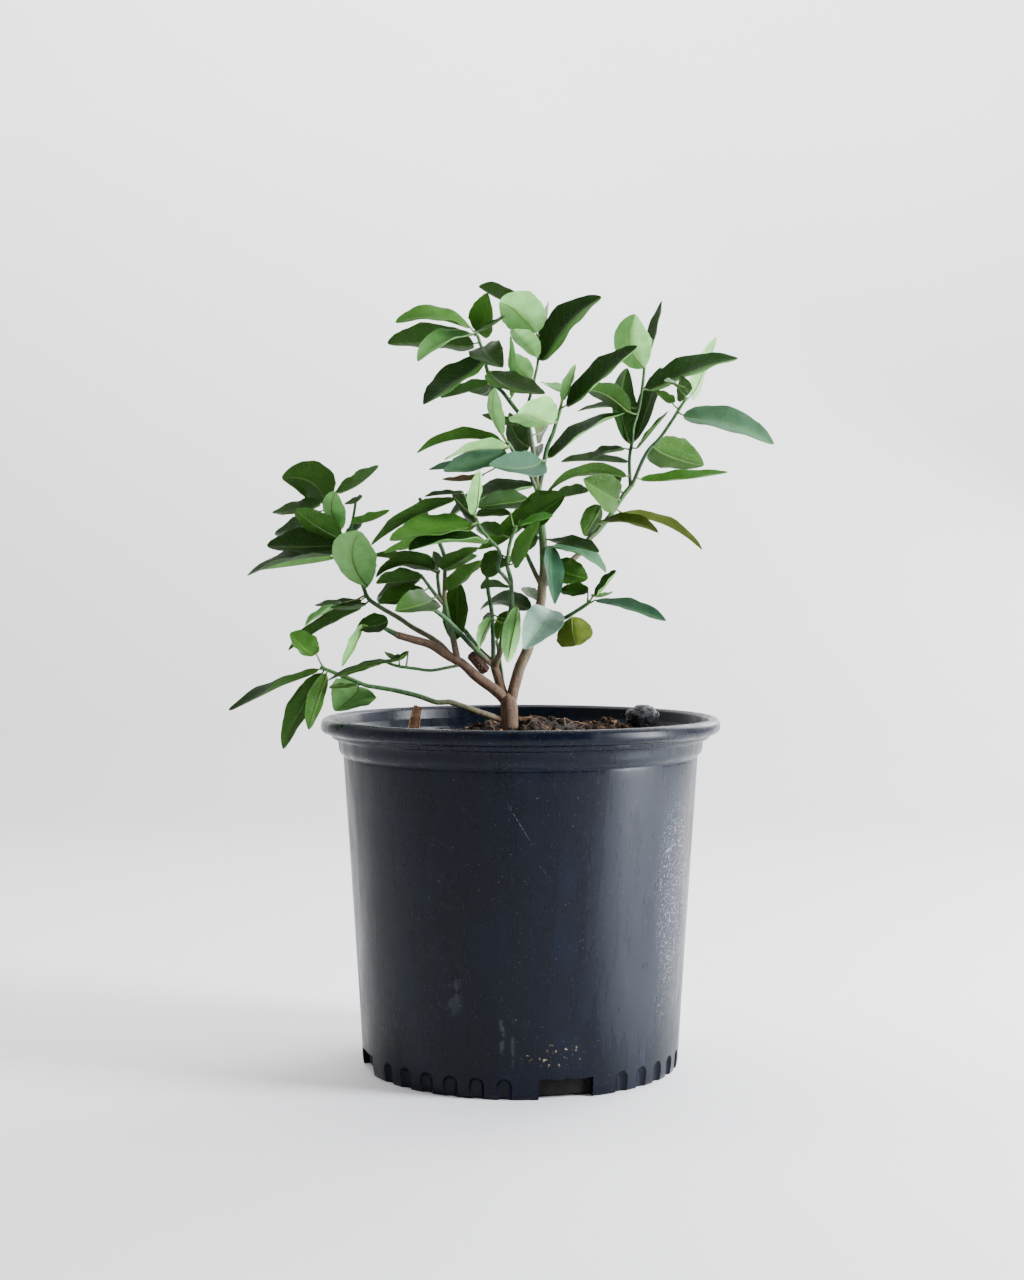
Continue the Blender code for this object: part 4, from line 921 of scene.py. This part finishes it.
def potMaterial():
    look = potLook
    material, tree, shader = startMaterial("black nursery plastic", look["roughness"], look["specular"])
    place = objectPlace(tree)
    cloud = noiseOf(tree, place, look["cloud"], 5, 0.6)
    drawn = noiseOf(tree, mapped(tree, place, look["drawn"]), 1.0, 4, 0.65)
    grain = noiseOf(tree, place, look["grain"], 2)
    hazeAndSheen = sums(tree, "MULTIPLY", spread(tree, cloud, *look["hazeCloud"]),
                spread(tree, drawn, *look["hazeDrawn"]))
    color = mixColor(tree, hazeAndSheen, look["dark"], look["worn"])
    dust = spread(tree, noiseOf(tree, place, look["dust"], 1), *look["dustFrom"])
    color = mixColor(tree, sums(tree, "MULTIPLY", dust, look["dustShare"]), color, look["mark"])
    for name, (centre, size, turn, scale, least, strength) in potMarks.items():
        grit = spread(tree, noiseOf(tree, place, scale, 3, 0.6), least, least + look["gritSoft"])
        share = sums(tree, "MULTIPLY", patch(tree, place, centre, size, turn), grit)
        paint = look["earth"] if name == "specks" else look["mark"]
        color = mixColor(tree, sums(tree, "MULTIPLY", share, strength), color, paint)
    plug(tree, shader.inputs["Base Color"], color)
    rough = spread(tree, drawn, *noiseSpan, *(look["roughness"] + more for more in look["drawnRough"]))
    hazeAndSheen = sums(tree, "MULTIPLY", hazeAndSheen, look["hazeRough"])
    plug(tree, shader.inputs["Roughness"], sums(tree, "ADD", rough, hazeAndSheen))
    relief = weighed(tree, (grain, drawn, cloud), look["relief"])
    plug(tree, shader.inputs["Normal"], bumpOf(tree, relief, *look["bump"]))
    return material


earthLook = {"specular": 0.2, "clods": (0.4, 0.75), "tinted": (0.5, 1.0), "finer": 5, "shade": (0.6, 1.4),
             "bump": (0.9, 0.002)}


def earthMaterial(name, look, scale):
    # look has the dark and the light colour and the roughness; the tint takes over where its alpha is 1
    material, tree, shader = startMaterial(name, look["roughness"], earthLook["specular"])
    tint, place = tintOf(tree), objectPlace(tree)
    clods = noiseOf(tree, place, scale, 6, 0.65)
    base = mixColor(tree, spread(tree, clods, *earthLook["clods"]), look["dark"], look["light"])
    base = mixColor(tree, spread(tree, tint["Alpha"], *earthLook["tinted"]), base, tint["Color"])
    fine = noiseOf(tree, place, scale * earthLook["finer"], 3)
    color = shaded(tree, base, spread(tree, fine, *noiseSpan, *earthLook["shade"]))
    plug(tree, shader.inputs["Base Color"], color)
    plug(tree, shader.inputs["Normal"], bumpOf(tree, clods, *earthLook["bump"]))
    return material


potMake = {"floor": 2, "steps": 160, "bevel": 0.7, "bevelSteps": 2,
           "outside": [(135, 243), (137.6, 242.3), (139.4, 240.4), (140, 237.5), (139.8, 235), (138.4, 233.2),
                       (136, 232.3), (133, 232), (132.4, 229.6), (131.6, 228.8), (128.5, 228.3), (127.9, 227),
                       (127.5, 222), (126.9, 219.6), (125.4, 217.6), (123.9, 216.4), (124.2, 214.6),
                       (123.7, 207), (119.4, 142), (113.2, 44), (111.1, 5), (110.3, 0)],
           "inside": [(106.5, 2), (107.5, 18), (110.9, 24), (117.8, 142), (122.1, 207), (122.4, 214),
                      (125.3, 222.5), (127, 228), (131, 234), (132, 241)],
           "notches": 4, "notchTurn": 15.8, "notch": (37, 16, 27), "notchMiddle": 108, "notchCuts": 9,
           "ragged": 0.8, "raggedPart": 0.45, "seed": 7,
           "flutes": 6, "fluteStep": 9.5, "flute": 5.6, "fluteTop": 14.5, "fluteCentre": 113.2,
           "fluteSides": 24, "fluteRings": 16}


def spunShell(bm, profile, steps, bevel):
    # Spins a profile in mm round Z. Both of its ends lie on the axis, so the shell is closed
    verts = [bm.verts.new((radius * mm, 0, height * mm)) for radius, height in profile]
    edges = [bm.edges.new(pair) for pair in zip(verts, verts[1:])]
    if bevel:
        bmesh.ops.bevel(bm, geom=verts[1:-1], offset=bevel * mm, segments=potMake["bevelSteps"], profile=0.5,
                        affect="VERTICES", material=-1)
    bmesh.ops.spin(bm, geom=bm.verts[:] + bm.edges[:], cent=(0, 0, 0), axis=(0, 0, 1), angle=math.tau,
                   steps=steps, use_merge=True)
    bmesh.ops.remove_doubles(bm, verts=bm.verts, dist=0.01 * mm)
    bmesh.ops.recalc_face_normals(bm, faces=bm.faces)


def cutAway(piece, cutters):
    # Takes the cutter meshes from a piece and keeps the result as its mesh
    group = bpy.data.collections.new("cutters")
    bpy.context.scene.collection.children.link(group)
    for i, bm in enumerate(cutters):
        mesh = bpy.data.meshes.new("cutter")
        bm.to_mesh(mesh)
        bm.free()
        group.objects.link(bpy.data.objects.new("cutter%d" % i, mesh))
    boolean = piece.modifiers.new("Cut", "BOOLEAN")
    boolean.operation = "DIFFERENCE"
    boolean.operand_type = "COLLECTION"
    boolean.collection = group
    boolean.solver = "EXACT"
    bpy.context.view_layer.update()
    cut = bpy.data.meshes.new_from_object(piece.evaluated_get(bpy.context.evaluated_depsgraph_get()))
    piece.modifiers.clear()
    piece.data = cut
    cut.shade_smooth()
    cut.set_sharp_from_angle(angle=math.radians(creaseAngle))
    for cutter in list(group.objects):
        bpy.data.objects.remove(cutter, do_unlink=True)
    bpy.data.collections.remove(group)


def buildPot(material):
    bm = bmesh.new()
    profile = [(0, potMake["floor"]), *potMake["inside"], *potMake["outside"], (0, 0)]
    spunShell(bm, profile, potMake["steps"], potMake["bevel"])
    pot = finishPiece(bm, "pot_fine", [material], ["pot"])
    cutters = []
    draw = random.Random(potMake["seed"])
    for i in range(potMake["notches"]):
        turn = math.radians(potMake["notchTurn"]) + i * math.tau / potMake["notches"]
        notch = bmesh.new()
        spot = Matrix.Rotation(turn, 4, "Z") @ Matrix.Translation((0, -potMake["notchMiddle"] * mm, 0))
        bmesh.ops.create_cube(notch, size=1)
        upper = [e for e in notch.edges if all(v.co.z > 0 for v in e.verts)]
        upper = [e for e in upper if e.verts[0].co.y == e.verts[1].co.y]
        bmesh.ops.subdivide_edges(notch, edges=upper, cuts=potMake["notchCuts"])
        for vert in notch.verts:
            vert.co = Vector([c * s * mm for c, s in zip(vert.co, potMake["notch"])])
            if vert.co.z > 0 and abs(vert.co.x) < potMake["raggedPart"] * potMake["notch"][0] * mm:
                vert.co.z += draw.uniform(-1, 1) * potMake["ragged"] * mm
        bmesh.ops.transform(notch, matrix=spot, verts=notch.verts)
        cutters.append(notch)
        for j in range(potMake["flutes"]):
            offset = math.radians((j - (potMake["flutes"] - 1) / 2) * potMake["fluteStep"])
            flute = bmesh.new()
            bmesh.ops.create_uvsphere(flute, u_segments=potMake["fluteSides"],
                                      v_segments=potMake["fluteRings"], radius=potMake["flute"] * mm)
            for vert in flute.verts:
                vert.co.z += math.copysign(potMake["fluteTop"] - potMake["flute"], vert.co.z) * mm
            spin = Matrix.Rotation(turn + math.tau / potMake["notches"] / 2 + offset, 4, "Z")
            spot = spin @ Matrix.Translation((0, -potMake["fluteCentre"] * mm, 0))
            bmesh.ops.transform(flute, matrix=spot, verts=flute.verts)
            cutters.append(flute)
    cutAway(pot, cutters)
    print("Pot made")


pebbleMake = {"place": (88.5, 45, 239), "size": (12.5, 10, 9), "detail": 5, "waves": (0.07, 0.05),
              "bumps": ((0.12, 2.5), (0.06, 7))}
pebbleLook = {"dark": (0.008, 0.008, 0.01), "light": (0.03, 0.03, 0.037), "roughness": 0.36, "scale": 420}
barkMake = {"foot": (-80, -18, 214), "top": (-71, -14, 250), "size": (9, 4), "cuts": 15, "taper": 0.35,
            "sway": 0.12, "ridge": (0.18, 9, 1.5), "split": (0.06, 14), "splitFrom": 0.45}
barkLook = {"dark": (0.09, 0.045, 0.025), "light": (0.3, 0.18, 0.1), "roughness": 0.9, "scale": 200}
soilMake = {"bottom": 2.3, "darkBelow": 40, "edge": 221, "sideTop": 220, "gap": 0.4, "rings": 54, "steps": 150,
            "nearTop": 1, "nearEdge": 0.1, "clod": 1.6, "clods": ((170, 60, 0), (-40, 150, 1)),
            "lumps": ((3.2, 70), (1.4, 260), (0.84, 600))}
soilLook = {"darkBelow": (0.004, 0.003, 0.003), "dark": (0.005, 0.0035, 0.003), "light": (0.04, 0.025, 0.016),
            "roughness": 0.95, "scale": 120, "bitScale": 260}
mounds = ((trunkX, 0, 13, 46), (20, 70, 12, 55), (*pebbleMake["place"][:2], 10.5, 26))  # x, y, height, radius
bitsMake = {"seed": 11, "reach": 119, "offTrunk": 9, "offPebble": 11,
            "crumbs": 900, "crumbSizes": (1.1, 1.4, 1.8, 2.6, 3.6), "crumbWide": (0.6, 1), "crumbHigh": 0.75,
            "crumbRise": 0.25, "chips": 130, "chipSize": ((4, 13), (2, 4.5), (0.8, 1.8)), "chipTilt": 0.5,
            "chipLean": 0.45, "chipRise": 1.2, "chipRagged": 0.6,
            "chip": ((0.06, 0.032, 0.018), (0.16, 0.09, 0.05)),
            "fibres": 110, "fibreReach": (7, 22), "fibreHump": (1, 6), "fibrePoints": 6, "fibreWander": 0.25,
            "fibreEnd": 118, "fibreSunk": 0.3, "fibreRadius": (0.18, 0.4), "fibreSides": 4,
            "fibre": ((0.09, 0.05, 0.03), (0.26, 0.17, 0.1)),
            "grit": ((26, (0.6, 0.57, 0.5)), (10, (0.45, 0.16, 0.03))), "gritSize": (0.7, 1.7),
            "gritShape": (1, 0.8, 0.9), "gritRise": 0.6}


def layered(spot, layers):
    # Layers of noise added up, each given by its height and scale
    return sum(height * noise.noise(spot * scale) for height, scale in layers)


def soilHeight(x, y):
    rise = sum(high * math.exp(-((x / mm - mx) ** 2 + (y / mm - my) ** 2) / radius ** 2)
               for mx, my, high, radius in mounds)
    clods = soilMake["clod"] * sum(math.sin(x * a + y * b + c) for a, b, c in soilMake["clods"])
    return (soilMake["edge"] + rise + clods + layered(Vector((x, y, 0)), soilMake["lumps"])) * mm


def buildSoil(material):
    inside, level, bottom = potMake["inside"], soilMake["edge"], soilMake["bottom"]
    sides = [(r - soilMake["gap"], h) for r, h in inside if potMake["floor"] < h < soilMake["sideTop"]]
    edge = sides[-1][0]
    rings = [(edge * i / soilMake["rings"], level) for i in range(soilMake["rings"] + 1)]
    bm = blankPlant()
    profile = [*rings, *reversed(sides), (inside[0][0] - soilMake["gap"], bottom), (0, bottom)]
    spunShell(bm, profile, soilMake["steps"], 0)
    for vert in bm.verts:
        top = vert.co.z > (level - soilMake["nearTop"]) * mm
        if top and vert.co.xy.length < (edge - soilMake["nearEdge"]) * mm:
            vert.co.z = soilHeight(vert.co.x, vert.co.y)
        # Soil below 40 mm, seen only through the drain notches, is painted nearly black
        elif vert.co.z < soilMake["darkBelow"] * mm:
            colorVerts(bm, [vert], Vector(soilLook["darkBelow"]))
    finishPiece(bm, "soil_fine", [material], ["soil"], sharpAngle=60)
    print("Soil made")


def soilSpot(draw):
    # A random spot on the soil, clear of the trunk and the pebble
    while True:
        turn, reach = draw.uniform(0, math.tau), bitsMake["reach"] * math.sqrt(draw.random())
        x, y = reach * math.cos(turn) * mm, reach * math.sin(turn) * mm
        clear = math.hypot(x / mm - trunkX, y / mm) > bitsMake["offTrunk"]
        px, py = pebbleMake["place"][:2]
        if clear and math.hypot(x / mm - px, y / mm - py) > bitsMake["offPebble"]:
            return x, y


def sized(size):
    return Matrix.Diagonal((*(s * mm for s in size), 1))


def looseMatrix(draw, x, y, rise, size):
    turn = Quaternion([draw.uniform(-1, 1) for axis in range(4)])
    place = Matrix.Translation((x, y, soilHeight(x, y) + rise * mm))
    return place @ turn.normalized().to_matrix().to_4x4() @ sized(size)


def colorVerts(bm, verts, color):
    place = bm.verts.layers.float_vector["place"]
    layer = bm.verts.layers.float_vector["color"]
    for vert in verts:
        vert[layer] = color
        vert[place] = (0, 0, 1)


def shadeBetween(draw, colors):
    return Vector(colors[0]).lerp(Vector(colors[1]), draw.random())


def addStone(bm, detail, matrix, color):
    verts = bmesh.ops.create_icosphere(bm, subdivisions=detail, radius=1, matrix=matrix)["verts"]
    colorVerts(bm, verts, color)


def growChip(bm, draw):
    x, y = soilSpot(draw)
    size = [draw.uniform(*span) for span in bitsMake["chipSize"]]
    tilt, lean, ragged = (bitsMake[name] for name in ("chipTilt", "chipLean", "chipRagged"))
    turn = Matrix.Rotation(draw.uniform(0, math.tau), 4, "Z")
    turn = turn @ Matrix.Rotation(draw.uniform(-tilt, tilt), 4, "X")
    turn = turn @ Matrix.Rotation(draw.uniform(-lean, lean), 4, "Y")
    place = Matrix.Translation((x, y, soilHeight(x, y) + bitsMake["chipRise"] * mm))
    verts = bmesh.ops.create_cube(bm, size=1, matrix=place @ turn @ sized(size))["verts"]
    for vert in verts:
        vert.co += Vector([draw.uniform(-ragged, ragged) * mm for axis in range(3)])
    colorVerts(bm, verts, shadeBetween(draw, bitsMake["chip"]))


def growFibre(bm, draw):
    x, y = soilSpot(draw)
    heading = draw.uniform(0, math.tau)
    reach, hump = draw.uniform(*bitsMake["fibreReach"]), draw.uniform(*bitsMake["fibreHump"])
    points = []
    for i in range(bitsMake["fibrePoints"]):
        t = i / (bitsMake["fibrePoints"] - 1)
        turn = heading + draw.uniform(-bitsMake["fibreWander"], bitsMake["fibreWander"])
        fx, fy = x + math.cos(turn) * reach * t * mm, y + math.sin(turn) * reach * t * mm
        if math.hypot(fx, fy) > bitsMake["fibreEnd"] * mm:
            return
        rise = hump * 4 * t * (1 - t) - bitsMake["fibreSunk"]
        points.append(Vector((fx, fy, soilHeight(fx, fy) + rise * mm)))
    color = shadeBetween(draw, bitsMake["fibre"])
    radius = draw.uniform(*bitsMake["fibreRadius"]) * mm
    growTube(bm, points, [radius] * len(points), bitsMake["fibreSides"], 1, lambda share, spot: color)


def scatterSoil(material):
    # Crumbs, bark chips, fibres, white grit and a few orange grains on the soil
    draw = random.Random(bitsMake["seed"])
    bm = blankPlant()
    for i in range(bitsMake["crumbs"]):
        x, y = soilSpot(draw)
        size = draw.choice(bitsMake["crumbSizes"])
        shape = (size, size * draw.uniform(*bitsMake["crumbWide"]), size * bitsMake["crumbHigh"])
        matrix = looseMatrix(draw, x, y, size * bitsMake["crumbRise"], shape)
        addStone(bm, 1, matrix, shadeBetween(draw, (soilLook["dark"], soilLook["light"])))
    for i in range(bitsMake["chips"]):
        growChip(bm, draw)
    for i in range(bitsMake["fibres"]):
        growFibre(bm, draw)
    for count, color in bitsMake["grit"]:
        for i in range(count):
            x, y = soilSpot(draw)
            size = draw.uniform(*bitsMake["gritSize"])
            shape = [size * part for part in bitsMake["gritShape"]]
            matrix = looseMatrix(draw, x, y, size * bitsMake["gritRise"], shape)
            addStone(bm, 2, matrix, Vector(color))
    finishPiece(bm, "soil_crumbs", [material], [], sharpAngle=30)
    print("Crumbs scattered")


def buildPebble(material):
    bm = blankPlant()
    bmesh.ops.create_icosphere(bm, subdivisions=pebbleMake["detail"], radius=1)
    first, second = pebbleMake["waves"]
    for vert in bm.verts:
        x, y, z = vert.co
        uneven = 1 + first * math.sin(3 * x + 1) * math.cos(2 * y) + second * math.sin(4 * z)
        uneven += layered(vert.co, pebbleMake["bumps"])
        vert.co = Vector([c * s * mm for c, s in zip((x, y, z), pebbleMake["size"])]) * uneven
    bmesh.ops.translate(bm, vec=Vector(pebbleMake["place"]) * mm, verts=bm.verts)
    finishPiece(bm, "pebble_fine", [material], ["pebble"], sharpAngle=80)


def buildBark(material):
    foot, top = Vector(barkMake["foot"]) * mm, Vector(barkMake["top"]) * mm
    bm = blankPlant()
    bmesh.ops.create_cube(bm, size=1)
    bmesh.ops.subdivide_edges(bm, edges=bm.edges[:], cuts=barkMake["cuts"], use_grid_fill=True)
    width, thick = (s * mm for s in barkMake["size"])
    rise, across, along = barkMake["ridge"]
    broken, often = barkMake["split"]
    for vert in bm.verts:
        x, y, z = vert.co
        slim = 1 - barkMake["taper"] * (z + 0.5) + barkMake["sway"] * math.sin(7 * z + 3 * x)
        ridge = 1 + rise * noise.noise(Vector((x * across, y * across, z * along)))
        if z > barkMake["splitFrom"]:  # the broken top
            z += broken * noise.noise(Vector((x * often, y * often, 3)))
        vert.co = Vector((x * width * slim * ridge, y * thick * slim * ridge, z * (top - foot).length))
    turn = Vector((0, 0, 1)).rotation_difference(top - foot).to_matrix().to_4x4()
    bmesh.ops.transform(bm, matrix=Matrix.Translation((foot + top) / 2) @ turn, verts=bm.verts)
    finishPiece(bm, "bark_stick_fine", [material], ["bark_stick"], sharpAngle=35)
    print("Pebble and bark made")


# The far colour is painted shade, low on the wall and far back on the floor
studio = {"floorBack": 2.6, "floorFront": 4, "wide": 9, "wall": 3.4, "curve": 1.2, "curveSteps": 16,
          "near": (0.93, 0.93, 0.94), "far": (0.6, 0.6, 0.61), "roughness": (0.6, 0.8),
          "nearFade": (0.2, 1.4), "highFade": (0.1, 1.3),
          "world": (0.97, 0.97, 1.0), "worldFade": (-0.5, 0.4), "worldFront": 0.3, "worldBack": 1.5}
# Azimuth from the front towards the right, distance, height, width, tall, watts, colour, aim
lamps = {
    "window": (74, 2.1, 0.75, 0.7, 1.6, 190, (0.93, 0.96, 1), (0, 0, 0.28)),
    "backWindow": (140, 2.2, 1.2, 1.2, 1.4, 60, (0.95, 0.98, 1), (0, 0, 0.28)),
    "fill": (-40, 2.4, 0.9, 1.8, 1.8, 8, (0.95, 0.97, 1), (0, 0, 0.28)),
    "wallWash": (180, 0.8, 2.6, 4, 0.8, 150, (1, 0.99, 0.98), (0, 2.6, 1.3)),
}


def buildStudio():
    bm = bmesh.new()
    half = studio["wide"] / 2
    front = [bm.verts.new((x, -studio["floorFront"], 0)) for x in (-half, half)]
    edges = [bm.edges.new(front)]
    for offset in ((0, studio["floorFront"] + studio["floorBack"], 0), (0, 0, studio["wall"])):
        grown = bmesh.ops.extrude_edge_only(bm, edges=edges)["geom"]
        verts = [item for item in grown if isinstance(item, bmesh.types.BMVert)]
        edges = ringEdges(grown, verts)
        bmesh.ops.translate(bm, vec=offset, verts=verts)
    corner = [e for e in bm.edges if all(v.co.z == 0 and v.co.y > 0 for v in e.verts)]
    bmesh.ops.bevel(bm, geom=corner, offset=studio["curve"], segments=studio["curveSteps"], profile=0.5,
                    affect="EDGES", material=-1)
    bmesh.ops.recalc_face_normals(bm, faces=bm.faces)
    mesh = bpy.data.meshes.new("floor")
    bm.to_mesh(mesh)
    bm.free()
    mesh.shade_smooth()
    material, tree, shader = startMaterial("pale floor", 0.7, 0.3)
    place = objectPlace(tree)
    parts = addNode(tree, "ShaderNodeSeparateXYZ", Vector=place).outputs
    # The wall is painted darker towards its foot, and the floor far back too: painted shade where the light
    # falls off
    near = spread(tree, parts["Y"], *studio["nearFade"], 1.0, 0.0)
    high = spread(tree, parts["Z"], *studio["highFade"])
    plug(tree, shader.inputs["Base Color"],
         mixColor(tree, sums(tree, "MAXIMUM", near, high), studio["far"], studio["near"]))
    rough = spread(tree, noiseOf(tree, place, 3, 2), *noiseSpan, *studio["roughness"])
    plug(tree, shader.inputs["Roughness"], rough)
    mesh.materials.append(material)
    floor = bpy.data.objects.new("floor", mesh)
    bpy.context.scene.collection.objects.link(floor)
    world = bpy.data.worlds.new("soft daylight")
    bpy.context.scene.world = world
    world.use_nodes = True
    back = world.node_tree.nodes["Background"]
    back.inputs["Color"].default_value = (*studio["world"], 1)
    tree = world.node_tree
    way = addNode(tree, "ShaderNodeTexCoord").outputs["Generated"]
    way = addNode(tree, "ShaderNodeSeparateXYZ", Vector=way).outputs["Y"]
    glow = spread(tree, way, *studio["worldFade"], studio["worldFront"], studio["worldBack"])
    plug(tree, back.inputs["Strength"], glow)
    for name, (azimuth, away, height, wide, tall, watts, color, aim) in lamps.items():
        lamp = bpy.data.lights.new(name, "AREA")
        lamp.shape = "RECTANGLE"
        lamp.size, lamp.size_y, lamp.energy, lamp.color = wide, tall, watts, color
        holder = bpy.data.objects.new(name, lamp)
        turn = math.radians(azimuth)
        holder.location = (away * math.sin(turn), -away * math.cos(turn), height)
        holder.rotation_euler = (Vector(aim) - holder.location).to_track_quat("-Z", "Y").to_euler()
        bpy.context.scene.collection.objects.link(holder)


def buildCamera():
    lens = bpy.data.cameras.new("camera")
    lens.lens = eye["lens"]
    holder = bpy.data.objects.new("camera", lens)
    holder.location = (0, -eye["distance"], eye["height"])
    holder.rotation_euler = (math.radians(90 - eye["pitchDown"]), 0, math.radians(eye["turnLeft"]))
    bpy.context.scene.collection.objects.link(holder)
    bpy.context.scene.camera = holder


buildCamera()
buildStudio()
print("Camera and studio set")
buildPot(potMaterial())
buildSoil(earthMaterial("potting soil", soilLook, soilLook["scale"]))
scatterSoil(earthMaterial("soil bits", soilLook, soilLook["bitScale"]))
buildPebble(earthMaterial("dark stone", pebbleLook, pebbleLook["scale"]))
buildBark(earthMaterial("dead bark", barkLook, barkLook["scale"]))
buildPlant({"leaf": leafMaterial(), "stem": stemMaterial()})
print("Plant made")
